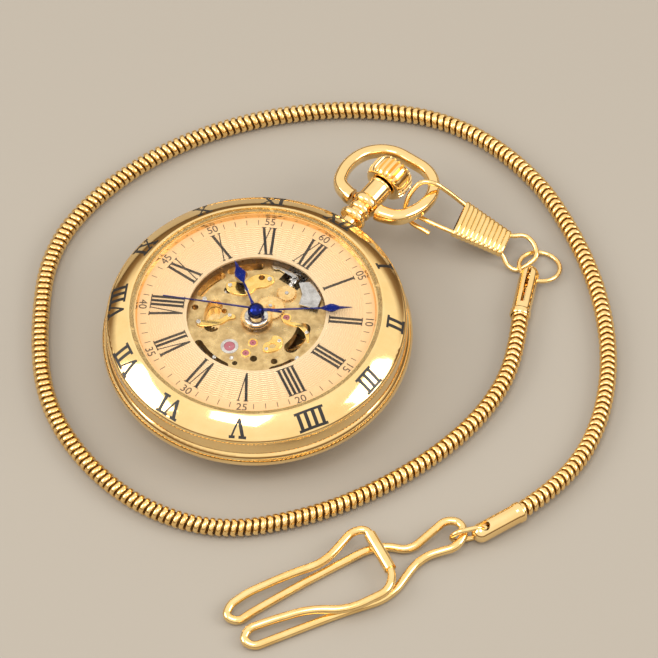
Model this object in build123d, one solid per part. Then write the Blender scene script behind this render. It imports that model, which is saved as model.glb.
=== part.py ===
# Open-faced mechanical pocket watch: a gilt case with a domed crystal, a bow and a fluted crown,
# an open-centre dial over a hand-wound movement, and a snake chain with its clasp and belt clip.
# Units are millimetres. The origin is the centre of the flat case back, +Z points out of the dial,
# +Y points from six o'clock to the pendant at twelve and +X points to three o'clock.
from build123d import *
import math
import os

# ---- case -------------------------------------------------------------------------------------
WALL_R = 22.8                 # outside of the case body's straight wall
BACK_R = 23.5                 # widest point of the snap-on back cover
JOINT_Z = 7.4                 # where the back cover meets the case body
SHOULDER_Z = 9.7              # top of the straight wall
LIP_Z = 12.4                  # top of the lip that holds the crystal
LIP_R = 19.05                 # the crystal's seat, and the hole in the numeral ring
CAVITY_R = 20.0               # inside of the case wall
CRYSTAL_R = 19.0
CRYSTAL_TOP_Z = 14.1
BACK_GLASS_R = 16.5

# ---- pendant, bow and crown --------------------------------------------------------------------
STEM_Z = 8.8                  # height of the stem's axis above the rest plane
BOW_PIVOT_Y = 27.4
BOW_WIRE_R = 1.05
BOW_DROOP = 9.4               # degrees that the bow hangs below the stem's axis
CROWN_START_Y = 31.85
CROWN_END_Y = 35.7
CROWN_R = 3.35
CROWN_FLUTES = 28

# ---- dial and hands ---------------------------------------------------------------------------
DIAL_Z = 11.3                 # the dial's upper face
DIAL_THICK = 0.4
DIAL_R = 19.9
DIAL_OPENING_R = 10.5
HOUR_HAND_ANGLE = 304.3       # degrees clockwise from twelve, for about 10:08:41
MINUTE_HAND_ANGLE = 52.1
SECONDS_HAND_ANGLE = 244.0
HOUR_HAND_Z = 11.6
MINUTE_HAND_Z = 12.05
SECONDS_HAND_Z = 12.5
HAND_THICK = 0.15

# ---- movement levels, from the back towards the dial --------------------------------------------
MOVEMENT_R = 13.9
COCK_Z = (2.9, 3.6)
HAIRSPRING_Z = (3.75, 3.95)
BALANCE_Z = (4.1, 4.6)
RATCHET_Z = (4.4, 4.9)
BARREL_BRIDGE_Z = (5.0, 6.2)
TRAIN_BRIDGE_Z = (5.0, 5.7)
FOURTH_Z = (5.9, 6.1)
PALLET_BRIDGE_Z = (6.2, 6.65)
THIRD_Z = (6.6, 6.8)
LEVER_Z = (6.95, 7.15)
BARREL_Z = (6.35, 7.9)
PLATE_Z = (8.0, 9.7)
CENTRE_WHEEL_Z = (8.1, 8.3)
MOTION_Z = (9.8, 10.0)
HOUR_WHEEL_Z = (10.2, 10.4)

# ---- wheel train -------------------------------------------------------------------------------
CENTRE = (0.0, 0.0)
BARREL_TEETH, CENTRE_PINION_TEETH = 76, 12
CENTRE_TEETH, THIRD_PINION_TEETH = 80, 10
THIRD_TEETH, FOURTH_PINION_TEETH = 75, 10
FOURTH_TEETH, ESCAPE_PINION_TEETH = 80, 8
ESCAPE_TEETH = 15
CANNON_TEETH, MINUTE_WHEEL_TEETH = 12, 36
MINUTE_PINION_TEETH, HOUR_TEETH = 10, 40
SETTING_TEETH = 24
WINDING_TEETH, CROWN_WHEEL_TEETH, RATCHET_TEETH = 13, 26, 40
BARREL_MODULE = 0.16
THIRD_DISTANCE = 4.5
ESCAPE_MODULE = 0.098
MOTION_MODULE = 0.12
ESCAPE_R = 1.9
BALANCE_R = 4.4
ROLLER_PIN_R = 0.75           # distance of the impulse pin from the balance's axis
PALLET_TO_ESCAPE = 2.15
PALLET_TO_BALANCE = 2.75

# ---- chain and its fittings --------------------------------------------------------------------
CHAIN_R = 1.35
CAP_R = 1.5
CLASP_WIRE_R = 0.38
LINK_WIRE_R = 0.38
CLIP_WIRE_R = 0.65
FERRULE_R = 0.93
CAP_Z = CAP_R + 0.15          # height of both end caps' axes above the rest plane
CHAIN_START = (28.1, 29.2)    # where the chain meets the cap nearest to the watch
CHAIN_END = (48.9, -1.4)
UPPER_CAP_TIP = (24.6, 36.8)
LOWER_CAP_TIP = (46.2, -8.3)
EYE_FROM_TIP = 2.0
EYE_R = 0.82
EAR_HALF = 0.68               # half the thickness of a cap's flattened ear
JUMP_RING_R = 3.15
JUMP_WIRE_R = 0.35
JUMP_RING_TURN = 3.0          # degrees
LINK_FAR_END = (43.7, -10.3)
LINK_HALF = 0.35              # half of the straight stretch at each end of the oval link
SLEEVE_WIDE_END = (11.65, 35.85, 5.2)
SLEEVE_NARROW_END = (19.05, 37.9, 2.0)
SLEEVE_WIDE_HALF = 3.45
SLEEVE_NARROW_HALF = 2.4
SLEEVE_HALF_THICK = 0.95
SLEEVE_RIBS = 9

BOTTOM = (Align.CENTER, Align.CENTER, Align.MIN)


def polar(radius, degrees, centre=(0.0, 0.0)):
    """The point at a distance and an angle from a centre."""
    angle = math.radians(degrees)
    return (centre[0] + radius * math.cos(angle), centre[1] + radius * math.sin(angle))


def heading(start, end):
    """The angle in degrees of the line from start to end."""
    return math.degrees(math.atan2(end[1] - start[1], end[0] - start[0]))


def rod(radius, z_low, z_high, at=CENTRE):
    """An upright round bar between two heights."""
    return Pos(at[0], at[1], z_low) * Cylinder(radius, z_high - z_low, align=BOTTOM)


def ring(outer, inner, z_low, z_high, at=CENTRE):
    """An upright tube between two heights."""
    return rod(outer, z_low, z_high, at) - rod(inner, z_low - 1, z_high + 1, at)


def slab(points, z_low, z_high):
    """A flat plate of any outline between two heights."""
    face = make_face(Polyline(*points, close=True))
    return extrude(Pos(0, 0, z_low) * face, z_high - z_low)


def bar(start, end, half_width, z_low, z_high):
    """A flat bar with round ends between two centres."""
    length = math.dist(start, end)
    middle = ((start[0] + end[0]) / 2, (start[1] + end[1]) / 2, (z_low + z_high) / 2)
    body = Pos(*middle) * Rot(0, 0, heading(start, end)) * Box(length, 2 * half_width, z_high - z_low)
    return body + rod(half_width, z_low, z_high, start) + rod(half_width, z_low, z_high, end)


def turned(edges, about=Axis.Z):
    """A body of revolution from the closed outline of its half section."""
    return revolve(make_face(edges), about, 360)


def section_outline(points):
    """A closed outline in the plane of radius and height."""
    return Polyline(*[(radius, 0, height) for radius, height in points], close=True)


def dome(rim_r, rim_z, top_z):
    """Half of a dome's section: an arc from its rim to its top, with its centre on the axis."""
    radius = (rim_r ** 2 + (top_z - rim_z) ** 2) / (2 * (top_z - rim_z))
    middle_z = top_z - radius + math.sqrt(radius ** 2 - (rim_r / 2) ** 2)
    return ThreePointArc((rim_r, 0, rim_z), (rim_r / 2, 0, middle_z), (0, 0, top_z))


def gear_outline(teeth, pitch_r, tooth_at):
    """Points round a toothed wheel, with one tooth centred on the given angle."""
    module = 2 * pitch_r / teeth
    tip_r, root_r = pitch_r + 0.8 * module, pitch_r - 1.15 * module
    pitch_angle = 360 / teeth
    points = []
    for tooth in range(teeth):
        middle = tooth_at + tooth * pitch_angle
        for radius, share in ((root_r, -0.24), (tip_r, -0.10), (tip_r, 0.10), (root_r, 0.24)):
            points.append(polar(radius, middle + share * pitch_angle))
    return points


def gear(teeth, pitch_r, levels, at=CENTRE, tooth_at=0.0):
    """A solid toothed wheel or pinion."""
    return Pos(at[0], at[1], 0) * slab(gear_outline(teeth, pitch_r, tooth_at), *levels)


def crossed_wheel(teeth, pitch_r, levels, at, tooth_at, hub_r, arms, arm_width=0.5):
    """A toothed wheel whose web is cut away between its arms."""
    z_low, z_high = levels
    rim_r = pitch_r * (1 - 4.5 / teeth) - 0.25
    windows = ring(rim_r, hub_r, z_low - 1, z_high + 1)
    for arm in range(arms):
        angle = arm * 360 / arms
        arm_box = Box(rim_r + 1, arm_width, z_high - z_low + 4, align=(Align.MIN, Align.CENTER, Align.CENTER))
        windows -= Pos(0, 0, (z_low + z_high) / 2) * Rot(0, 0, angle) * arm_box
    wheel = slab(gear_outline(teeth, pitch_r, tooth_at), z_low, z_high) - windows
    return Pos(at[0], at[1], 0) * wheel


def bend_radii(points, share=0.45):
    """For each corner, the largest arc that its two runs leave room for."""
    radii = []
    for before, corner, after in zip(points, points[1:], points[2:]):
        run_in, run_out = Vector(*corner) - Vector(*before), Vector(*after) - Vector(*corner)
        half_turn = math.radians(run_in.get_angle(run_out)) / 2
        radii.append(share * min(run_in.length, run_out.length) / math.tan(half_turn))
    return radii


def bent_rod(points, radius, share=0.45, report=None):
    """A round bar or tube along straight runs joined by tangent arcs."""
    radii = bend_radii(points, share)
    path = FilletPolyline(*points, radius=radii)
    body = sweep(Plane(path @ 0, z_dir=path % 0) * Circle(radius), path)
    if report:
        print(report, "length", round(path.length, 2), "volume", round(body.volume, 2),
              "section x length", round(math.pi * radius ** 2 * path.length, 2))
        print(report, "radii", [round(value, 1) for value in radii])
    return body


def along_stem(y, profile):
    """A body turned about the stem's axis from (radius, distance) pairs, starting at y."""
    edges = Polyline(*[(radius, 0, distance) for radius, distance in profile], close=True)
    return Pos(0, y, STEM_Z) * Rot(-90, 0, 0) * turned(edges)


def arc_slot(inner, outer, start, end):
    """A round-ended slot on a circle, as an outline on the ground plane."""
    middle, half_width = (inner + outer) / 2, (outer - inner) / 2
    sector = Circle(outer) - Circle(inner)
    steps = [polar(2 * outer, start + (end - start) * part / 4) for part in range(5)]
    sector &= make_face(Polyline((0, 0), *steps, close=True))
    for angle in (start, end):
        sector += Pos(*polar(middle, angle)) * Circle(half_width)
    return sector


parts = {}

# ---- case body, back cover, crystals -----------------------------------------------------------
body_edges = [
    Polyline((WALL_R, 0, JOINT_Z), (WALL_R, 0, SHOULDER_Z)),
    ThreePointArc((WALL_R, 0, SHOULDER_Z), (22.62, 0, 10.25), (22.2, 0, 10.65)),
    ThreePointArc((22.2, 0, 10.65), (20.9, 0, 11.6), (19.45, 0, LIP_Z - 0.05)),
    Polyline((19.45, 0, LIP_Z - 0.05), (19.3, 0, LIP_Z), (LIP_R, 0, LIP_Z), (LIP_R, 0, 11.95),
             (18.35, 0, 11.95), (18.35, 0, 11.5), (CAVITY_R, 0, 11.5), (CAVITY_R, 0, 6.6),
             (21.5, 0, 6.6), (21.6, 0, 6.8), (21.6, 0, JOINT_Z), (WALL_R, 0, JOINT_Z)),
]
stem_way = Pos(0, WALL_R - 4, STEM_Z) * Rot(-90, 0, 0) * Cylinder(1.3, 10, align=BOTTOM)
parts["case_body"] = turned(body_edges) - stem_way

cover_edges = [
    ThreePointArc((WALL_R, 0, JOINT_Z - 0.03), (BACK_R, 0, 6.1), (23.0, 0, 4.5)),
    ThreePointArc((23.0, 0, 4.5), (21.3, 0, 2.1), (18.7, 0, 0)),
    Polyline((18.7, 0, 0), (BACK_GLASS_R, 0, 0), (BACK_GLASS_R, 0, 1.3), (15.7, 0, 1.3), (15.7, 0, 1.8),
             (19.4, 0, 2.3), (21.2, 0, 4.4), (21.62, 0, 6.0), (21.62, 0, JOINT_Z - 0.03),
             (WALL_R, 0, JOINT_Z - 0.03)),
]
parts["back_cover"] = turned(cover_edges)
parts["back_glass"] = chamfer(rod(BACK_GLASS_R - 0.02, 0, 1.3).edges(), 0.08)

crystal_edges = [
    dome(CRYSTAL_R, 12.75, CRYSTAL_TOP_Z),
    Line((0, 0, CRYSTAL_TOP_Z), (0, 0, 13.4)),
    dome(18.2, 12.35, 13.4),
    Polyline((18.2, 0, 12.35), (18.4, 0, 12.15), (CRYSTAL_R, 0, 12.15), (CRYSTAL_R, 0, 12.75)),
]
parts["crystal"] = turned(crystal_edges)
parts["crystal_gasket"] = ring(LIP_R - 0.01, 18.4, 11.95, 12.15)
parts["dial_flange"] = turned(section_outline([
    (17.9, DIAL_Z), (CAVITY_R - 0.05, DIAL_Z), (CAVITY_R - 0.05, 11.48), (18.32, 11.48), (18.32, 11.92),
    (18.15, 11.92)]))

# ---- pendant, bow, crown -----------------------------------------------------------------------
pendant = along_stem(20.6, [
    (0.8, 0), (1.28, 0), (1.28, 2.95), (2.0, 3.0), (2.2, 3.35), (2.2, 3.75), (1.95, 4.15), (1.5, 4.4),
    (1.5, 4.75), (1.85, 5.0), (1.95, 5.35), (1.85, 5.7), (1.6, 5.95), (2.15, 6.2), (2.3, 6.5), (2.3, 7.1),
    (2.1, 7.45), (1.95, 7.6), (1.95, 10.5), (2.12, 10.6), (2.12, 10.9), (2.0, 11.0), (0.8, 11.0)])
pivot_holes = Pos(0, BOW_PIVOT_Y, STEM_Z) * Rot(0, 90, 0) * (
    Pos(0, 0, 1.3) * Cylinder(0.5, 3, align=BOTTOM) + Pos(0, 0, -4.3) * Cylinder(0.5, 3, align=BOTTOM))
parts["pendant"] = pendant - pivot_holes

bow_side = [(3.0, 0.0), (5.7, 0.9), (7.15, 4.6), (6.8, 9.1), (3.7, 12.3)]
bow_route = [(u, v, 0) for u, v in bow_side] + [(-u, v, 0) for u, v in reversed(bow_side)]
bow = bent_rod(bow_route, BOW_WIRE_R, 0.49)
for side in (-1, 1):
    bow += Pos(side * 3.0, 0, 0) * Sphere(1.3)
    bow -= Pos(side * 1.2, 0, 0) * Box(2.5, 4, 4)
for side in (-1, 1):
    bow += Pos(side * 2.1, 0, 0) * Rot(0, 90, 0) * Cylinder(0.45, 1.3)
parts["bow"] = Pos(0, BOW_PIVOT_Y, STEM_Z) * Rot(-BOW_DROOP, 0, 0) * bow

crown_length = CROWN_END_Y - CROWN_START_Y
flutes = gear_outline(CROWN_FLUTES, CROWN_R - 0.2, 90)
fluted = extrude(make_face(Polyline(*flutes, close=True)), crown_length)
crown_shape = turned([
    Polyline((0, 0, 0), (2.75, 0, 0), (2.95, 0, 0.25), (CROWN_R + 0.1, 0, 0.75),
             (CROWN_R + 0.1, 0, crown_length - 0.7), (2.9, 0, crown_length)),
    dome(2.9, crown_length, crown_length + 0.55),
    Line((0, 0, crown_length + 0.55), (0, 0, 0)),
])
crown = (fluted & crown_shape) + (rod(2.75, 0, 0.3) & crown_shape)
crown += Pos(0, 0, crown_length - 0.02) * rod(2.85, 0, 0.6) & crown_shape
crown -= rod(0.66, -1, 2.2)
parts["crown"] = Pos(0, CROWN_START_Y, STEM_Z) * Rot(-90, 0, 0) * crown

parts["stem"] = along_stem(6.8, [
    (0, 0), (0.3, 0), (0.3, 1.2), (0.5, 1.25), (0.5, 5.1), (0.3, 5.15), (0.3, 5.85), (0.5, 5.9), (0.5, 12.5),
    (0.65, 12.6), (0.65, 27.2), (0, 27.2)])

# ---- dial, its ring and the hands --------------------------------------------------------------
parts["dial"] = ring(DIAL_R, DIAL_OPENING_R, DIAL_Z - DIAL_THICK, DIAL_Z)
movement_ring = ring(CAVITY_R - 0.05, MOVEMENT_R + 0.03, PLATE_Z[0], DIAL_Z - DIAL_THICK)
movement_ring -= Pos(0, 12, STEM_Z) * Rot(-90, 0, 0) * Cylinder(0.9, 10, align=BOTTOM)
parts["movement_ring"] = movement_ring


def hand(points, hub_r, hub_hole_r, z, angle):
    """A flat hand from half of its outline along +Y, mirrored, with its hub."""
    outline = points + [(-x, y) for x, y in reversed(points) if x > 0]
    shape = slab(outline, z, z + HAND_THICK) + rod(hub_r, z, z + HAND_THICK)
    if hub_hole_r:
        shape -= rod(hub_hole_r, z - 1, z + 1)
    return Rot(0, 0, -angle) * shape


parts["hour_hand"] = hand(
    [(0.30, 0.0), (0.28, 1.6), (0.13, 2.6), (0.13, 5.9), (0.35, 6.3), (0.85, 7.4), (0.80, 7.9), (0.3, 8.8),
     (0.0, 10.2)], 1.25, 0.95, HOUR_HAND_Z, HOUR_HAND_ANGLE)
parts["minute_hand"] = hand(
    [(0.28, 0.0), (0.26, 1.6), (0.12, 2.6), (0.12, 9.8), (0.30, 10.2), (0.72, 11.2), (0.66, 11.7),
     (0.22, 12.6), (0.0, 14.5)], 1.1, 0.62, MINUTE_HAND_Z, MINUTE_HAND_ANGLE)
seconds = hand([(0.16, -4.0), (0.13, 0.0), (0.07, 14.2), (0.0, 14.25)], 0.6, 0, SECONDS_HAND_Z,
               SECONDS_HAND_ANGLE)
cap_edges = [dome(1.2, SECONDS_HAND_Z - 0.15, 13.1),
             Polyline((0, 0, 13.1), (0, 0, SECONDS_HAND_Z - 0.15), (1.2, 0, SECONDS_HAND_Z - 0.15))]
parts["seconds_hand"] = seconds + turned(cap_edges)

# ---- where the arbors stand --------------------------------------------------------------------
barrel_r = BARREL_TEETH * BARREL_MODULE / 2
centre_pinion_r = CENTRE_PINION_TEETH * BARREL_MODULE / 2
BARREL_AT = polar(barrel_r + centre_pinion_r, 165)
THIRD_AT = polar(THIRD_DISTANCE, 40)
centre_wheel_r = THIRD_DISTANCE * CENTRE_TEETH / (CENTRE_TEETH + THIRD_PINION_TEETH)
third_pinion_r = THIRD_DISTANCE - centre_wheel_r
third_wheel_r = THIRD_DISTANCE * THIRD_TEETH / (THIRD_TEETH + FOURTH_PINION_TEETH)
fourth_pinion_r = THIRD_DISTANCE - third_wheel_r
fourth_wheel_r = FOURTH_TEETH * ESCAPE_MODULE / 2
escape_pinion_r = ESCAPE_PINION_TEETH * ESCAPE_MODULE / 2
ESCAPE_AT = polar(fourth_wheel_r + escape_pinion_r, -60)
BALANCE_AT = (-0.3, -6.3)
span = math.dist(ESCAPE_AT, BALANCE_AT)
along = (PALLET_TO_ESCAPE ** 2 - PALLET_TO_BALANCE ** 2 + span ** 2) / (2 * span)
aside = math.sqrt(PALLET_TO_ESCAPE ** 2 - along ** 2)
foot = polar(along, heading(ESCAPE_AT, BALANCE_AT), ESCAPE_AT)
PALLET_AT = polar(aside, heading(ESCAPE_AT, BALANCE_AT) + 90, foot)
cannon_r = CANNON_TEETH * MOTION_MODULE / 2
minute_wheel_r = MINUTE_WHEEL_TEETH * MOTION_MODULE / 2
MINUTE_WHEEL_AT = polar(cannon_r + minute_wheel_r, 80)
minute_pinion_r = (cannon_r + minute_wheel_r) * MINUTE_PINION_TEETH / (MINUTE_PINION_TEETH + HOUR_TEETH)
hour_wheel_r = cannon_r + minute_wheel_r - minute_pinion_r
setting_wheel_r = SETTING_TEETH * MOTION_MODULE / 2
SETTING_WHEEL_AT = polar(minute_wheel_r + setting_wheel_r, 84, MINUTE_WHEEL_AT)
CROWN_WHEEL_AT = (0.0, 8.2)
wind_distance = math.dist(BARREL_AT, CROWN_WHEEL_AT)
crown_spur_r = wind_distance * CROWN_WHEEL_TEETH / (CROWN_WHEEL_TEETH + RATCHET_TEETH)
ratchet_r = wind_distance - crown_spur_r
CROWN_FACE_R = 2.6            # where the crown wheel's upper teeth meet the winding pinion
winding_pinion_r = CROWN_FACE_R * WINDING_TEETH / CROWN_WHEEL_TEETH
SETTING_LEVER_AT = (3.4, 11.7)
YOKE_AT = (-3.4, 9.6)
CLICK_AT = polar(8.3, 250, BARREL_AT)
jewel_places = [THIRD_AT, ESCAPE_AT, PALLET_AT]

# ---- main plate and bridges --------------------------------------------------------------------
plate = rod(MOVEMENT_R, *PLATE_Z)
plate -= rod(centre_wheel_r + 0.35, PLATE_Z[0] - 1, 8.45)
plate -= rod(0.95, PLATE_Z[0] - 1, 8.5, THIRD_AT)
plate -= rod(1.2, 7, 11)
plate -= rod(0.62, 7, 11, BARREL_AT)
plate -= rod(1.35, 7, 11, BALANCE_AT)
for place in jewel_places:
    plate -= rod(0.5, 7, 11, place)
plate -= Pos(0, 10.7, 9) * Box(3.5, 5.6, 4)
plate -= Pos(0, 12, STEM_Z) * Rot(-90, 0, 0) * Cylinder(0.6, 3, align=BOTTOM)
plate -= Pos(0, 6.6, STEM_Z) * Rot(-90, 0, 0) * Cylinder(0.34, 3, align=BOTTOM)
windows = [(9.2, 10.4, 160, 186), (9.2, 10.4, 124, 150), (9.2, 10.4, 60, 74), (9.0, 10.3, 243, 277),
           (9.0, 10.3, 322, 341), (5.6, 8.0, 195, 225), (6.3, 8.4, 352, 22)]
for inner, outer, start, end in windows:
    end += 360 if end < start else 0
    plate -= extrude(Pos(0, 0, 7) * arc_slot(inner, outer, start, end), 4)
for x, y, radius in ((-4.9, -1.6, 0.45), (-8.9, -3.6, 0.5), (-2.4, -9.6, 0.35), (2.2, -8.3, 0.4),
                     (4.0, -6.0, 0.55), (6.8, -4.6, 0.5), (-6.9, 5.2, 1.0), (-4.0, 6.6, 0.5)):
    plate -= rod(radius, 7, 11, (x, y))
parts["main_plate"] = plate

BRIDGE_FEET = ((-4.3, 11.8), (-10.3, -7.2), (3.7, 12.1))
TRAIN_FEET = ((11.6, 4.4), (10.2, -3.9))
round_blank = rod(MOVEMENT_R - 0.2, *BARREL_BRIDGE_Z)
bridge_area = (Pos(-7.15, 5.4, 5.6) * Box(13.7, 17.2, 4) + Pos(-10.25, -6.1, 5.6) * Box(7.5, 5.8, 4)
               + Pos(2.5, 10.7, 5.6) * Box(6.0, 6.6, 4))
barrel_bridge = (round_blank & bridge_area) - rod(4.0, 4, 7)
barrel_bridge -= rod(0.9, 4, 7, BARREL_AT)
barrel_bridge -= rod(0.85, 4, 7, CROWN_WHEEL_AT)
for place in BRIDGE_FEET:
    barrel_bridge += rod(0.9, BARREL_BRIDGE_Z[0], PLATE_Z[0], place)
parts["barrel_bridge"] = barrel_bridge

train_area = Pos(6.9, 1.1, 5.4) * Box(13.8, 12.0, 4)
train_bridge = (rod(MOVEMENT_R - 0.2, *TRAIN_BRIDGE_Z) & train_area) + rod(1.2, *TRAIN_BRIDGE_Z)
train_bridge -= rod(0.5, 4, 7)
for place in (THIRD_AT, ESCAPE_AT):
    train_bridge -= rod(0.5, 4, 7, place)
for place in TRAIN_FEET:
    train_bridge += rod(0.9, TRAIN_BRIDGE_Z[0], PLATE_Z[0], place)
parts["train_bridge"] = train_bridge

PALLET_FOOT = (6.6, -8.2)
pallet_bridge = bar(PALLET_AT, PALLET_FOOT, 0.8, *PALLET_BRIDGE_Z)
pallet_bridge += rod(0.8, PALLET_BRIDGE_Z[0], PLATE_Z[0], PALLET_FOOT)
pallet_bridge -= rod(0.35, 5, 7, PALLET_AT)
parts["pallet_bridge"] = pallet_bridge

COCK_FOOT = (-5.4, -11.6)
cock = bar(BALANCE_AT, COCK_FOOT, 1.1, *COCK_Z) + rod(1.1, COCK_Z[0], PLATE_Z[0], COCK_FOOT)
cock -= rod(0.55, 2, 4, BALANCE_AT)
stud_at = polar(2.45, heading(BALANCE_AT, COCK_FOOT), BALANCE_AT)
cock += rod(0.2, COCK_Z[1], 3.98, stud_at)
parts["balance_cock"] = cock

screws = []
for place, z_low, top in ([(p, 4.65, 8.6) for p in BRIDGE_FEET] + [(p, 4.65, 8.6) for p in TRAIN_FEET]
                          + [(PALLET_FOOT, 5.85, 8.6), (COCK_FOOT, 2.55, 8.6)]):
    shank = rod(0.4, z_low, top, place)
    head = rod(0.7, z_low, z_low + 0.35, place) - Pos(place[0], place[1], z_low) * Box(2, 0.2, 0.3)
    screws.append((place, head + shank))
parts["bridge_screws"] = Compound([screw for place, screw in screws])
for place, screw in screws:
    for name in ("barrel_bridge", "train_bridge", "pallet_bridge", "balance_cock", "main_plate"):
        parts[name] -= rod(0.4, 2, 8.6, place)

plate_jewels = [ring(0.5, 0.13, 9.2, 9.7, place) for place in jewel_places]
plate_jewels.append(ring(0.85, 0.13, 9.35, 9.65, BALANCE_AT))
parts["plate_jewels"] = Compound(plate_jewels)
parts["balance_setting"] = ring(1.33, 0.86, 9.2, 9.75, BALANCE_AT)
bridge_jewels = [ring(0.5, 0.13, 5.1, 5.6, place) for place in (CENTRE, THIRD_AT, ESCAPE_AT)]
bridge_jewels.append(ring(0.35, 0.13, 6.25, 6.6, PALLET_AT))
bridge_jewels.append(ring(0.55, 0.13, 3.0, 3.5, BALANCE_AT))
parts["bridge_jewels"] = Compound(bridge_jewels)

# ---- barrel, winding work and keyless work -----------------------------------------------------
to_centre = heading(BARREL_AT, CENTRE)
drum = gear(BARREL_TEETH, barrel_r, (7.5, BARREL_Z[1]), BARREL_AT, to_centre)
drum += rod(barrel_r - 0.35, BARREL_Z[0], 7.55, BARREL_AT)
drum -= rod(barrel_r - 0.75, BARREL_Z[0] - 1, 7.6, BARREL_AT)
drum -= rod(0.62, 5, 9, BARREL_AT)
parts["barrel_drum"] = drum
parts["barrel_cover"] = ring(barrel_r - 0.77, 0.92, BARREL_Z[0], BARREL_Z[0] + 0.2, BARREL_AT)


def spiral(inner_r, outer_r, turns, thick, levels, at, steps=30):
    """A flat coiled spring."""
    inside, outside = [], []
    for step in range(int(turns * steps) + 1):
        share = step / (turns * steps)
        radius, angle = inner_r + (outer_r - inner_r) * share, 360 * turns * share
        inside.append(polar(radius, angle))
        outside.append(polar(radius + thick, angle))
    return Pos(at[0], at[1], 0) * slab(inside + outside[::-1], *levels)


parts["mainspring"] = spiral(1.3, barrel_r - 1.0, 7, 0.14, (6.65, 7.45), BARREL_AT)
arbor = rod(0.56, 7.4, 9.3, BARREL_AT) + rod(1.15, 6.65, 7.45, BARREL_AT) + rod(0.84, 4.9, 6.66, BARREL_AT)
parts["barrel_arbor"] = arbor + rod(1.2, 4.15, 4.4, BARREL_AT) + rod(0.5, 4.3, 5.0, BARREL_AT)
to_crown_wheel = heading(BARREL_AT, CROWN_WHEEL_AT)
ratchet = gear(RATCHET_TEETH, ratchet_r, RATCHET_Z, BARREL_AT, to_crown_wheel)
parts["ratchet_wheel"] = ratchet - rod(0.5, 4, 5, BARREL_AT)
crown_wheel = gear(CROWN_WHEEL_TEETH, crown_spur_r, RATCHET_Z, CROWN_WHEEL_AT,
                   to_crown_wheel + 180 + 180 / CROWN_WHEEL_TEETH)
crown_wheel += rod(0.8, 4.2, 7.2, CROWN_WHEEL_AT)
face_gear = gear(CROWN_WHEEL_TEETH, CROWN_FACE_R, (7.1, 7.5), CENTRE, 90 + 180 / CROWN_WHEEL_TEETH)
crown_wheel += Pos(*CROWN_WHEEL_AT, 0) * (face_gear - rod(1.9, 7.35, 8))
parts["crown_wheel"] = crown_wheel
click_tip = polar(ratchet_r + 0.45, 262, BARREL_AT)
click = bar(CLICK_AT, click_tip, 0.22, *RATCHET_Z) + rod(0.6, *RATCHET_Z, CLICK_AT)
parts["click"] = click - rod(0.33, 4, 5, CLICK_AT)

pinion_gear = gear(WINDING_TEETH, winding_pinion_r, (0, 0.65), CENTRE, 90)
pinion_body = pinion_gear + rod(0.9, 0, 0.9)
parts["winding_pinion"] = Pos(0, 10.5, STEM_Z) * Rot(-90, 0, 0) * (pinion_body - rod(0.53, -1, 2))
clutch_body = rod(1.0, 0, 1.6) - ring(1.4, 0.75, 0.6, 1.05)
parts["clutch_wheel"] = Pos(0, 8.75, STEM_Z) * Rot(-90, 0, 0) * (clutch_body - rod(0.53, -1, 3))
lever_tip = (0.0, 12.3)
setting_lever = bar(SETTING_LEVER_AT, lever_tip, 0.35, 9.95, 10.15) + rod(0.75, 9.95, 10.15, SETTING_LEVER_AT)
parts["setting_lever"] = setting_lever + rod(0.24, 9.15, 10.0, lever_tip)
yoke_tip = (0.0, 9.6 - 0.02)
yoke = bar(YOKE_AT, yoke_tip, 0.33, 9.9, 10.1) + rod(0.7, 9.9, 10.1, YOKE_AT)
parts["yoke"] = yoke + rod(0.18, 9.58, 9.95, yoke_tip)
parts["setting_bridge"] = slab([(1.4, 8.8), (3.0, 10.2), (5.9, 8.4), (6.5, 6.5), (3.8, 5.6), (3.1, 7.4)],
                               10.2, 10.4) + rod(0.5, 9.7, 10.3, (5.2, 7.5))
studs = [rod(0.35, 9.7, 9.95, SETTING_LEVER_AT), rod(0.35, 9.7, 9.9, YOKE_AT), rod(0.3, 4.35, 5.0, CLICK_AT),
         rod(0.28, 9.7, 10.1, SETTING_WHEEL_AT), rod(0.25, 9.7, 10.6, MINUTE_WHEEL_AT)]
parts["keyless_studs"] = Compound(studs)

# ---- going train -------------------------------------------------------------------------------
centre_wheel = crossed_wheel(CENTRE_TEETH, centre_wheel_r, CENTRE_WHEEL_Z, CENTRE, 40, 1.0, 5)
centre_wheel += gear(CENTRE_PINION_TEETH, centre_pinion_r, (7.5, 8.15), CENTRE, 165 + 180 / 12)
centre_wheel += rod(0.45, 7.2, 11.9)
parts["centre_wheel"] = centre_wheel - rod(0.28, 6, 13)
cannon = gear(CANNON_TEETH, cannon_r, (9.75, 10.1), CENTRE, 80) + rod(0.62, 9.75, 12.3)
parts["cannon_pinion"] = cannon - rod(0.45, 9, 13)
to_cannon = 80 + 180
minute_wheel = gear(MINUTE_WHEEL_TEETH, minute_wheel_r, MOTION_Z, MINUTE_WHEEL_AT, to_cannon + 180 / 36)
minute_wheel += gear(MINUTE_PINION_TEETH, minute_pinion_r, (9.95, 10.5), MINUTE_WHEEL_AT, to_cannon)
parts["minute_wheel"] = minute_wheel - rod(0.28, 9, 11, MINUTE_WHEEL_AT)
setting_wheel = gear(SETTING_TEETH, setting_wheel_r, MOTION_Z, SETTING_WHEEL_AT,
                     84 + 180 + (84 - to_cannon - 180 / 36) * 36 / 24 + 180 / 24)
parts["setting_wheel"] = setting_wheel - rod(0.31, 9, 11, SETTING_WHEEL_AT)
hour_wheel = gear(HOUR_TEETH, hour_wheel_r, HOUR_WHEEL_Z, CENTRE, 80 + 180 / 40) + rod(0.95, 10.2, 11.8)
parts["hour_wheel"] = hour_wheel - rod(0.68, 9, 13)
third = crossed_wheel(THIRD_TEETH, third_wheel_r, THIRD_Z, THIRD_AT, 40 + 180, 0.9, 4)
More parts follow.
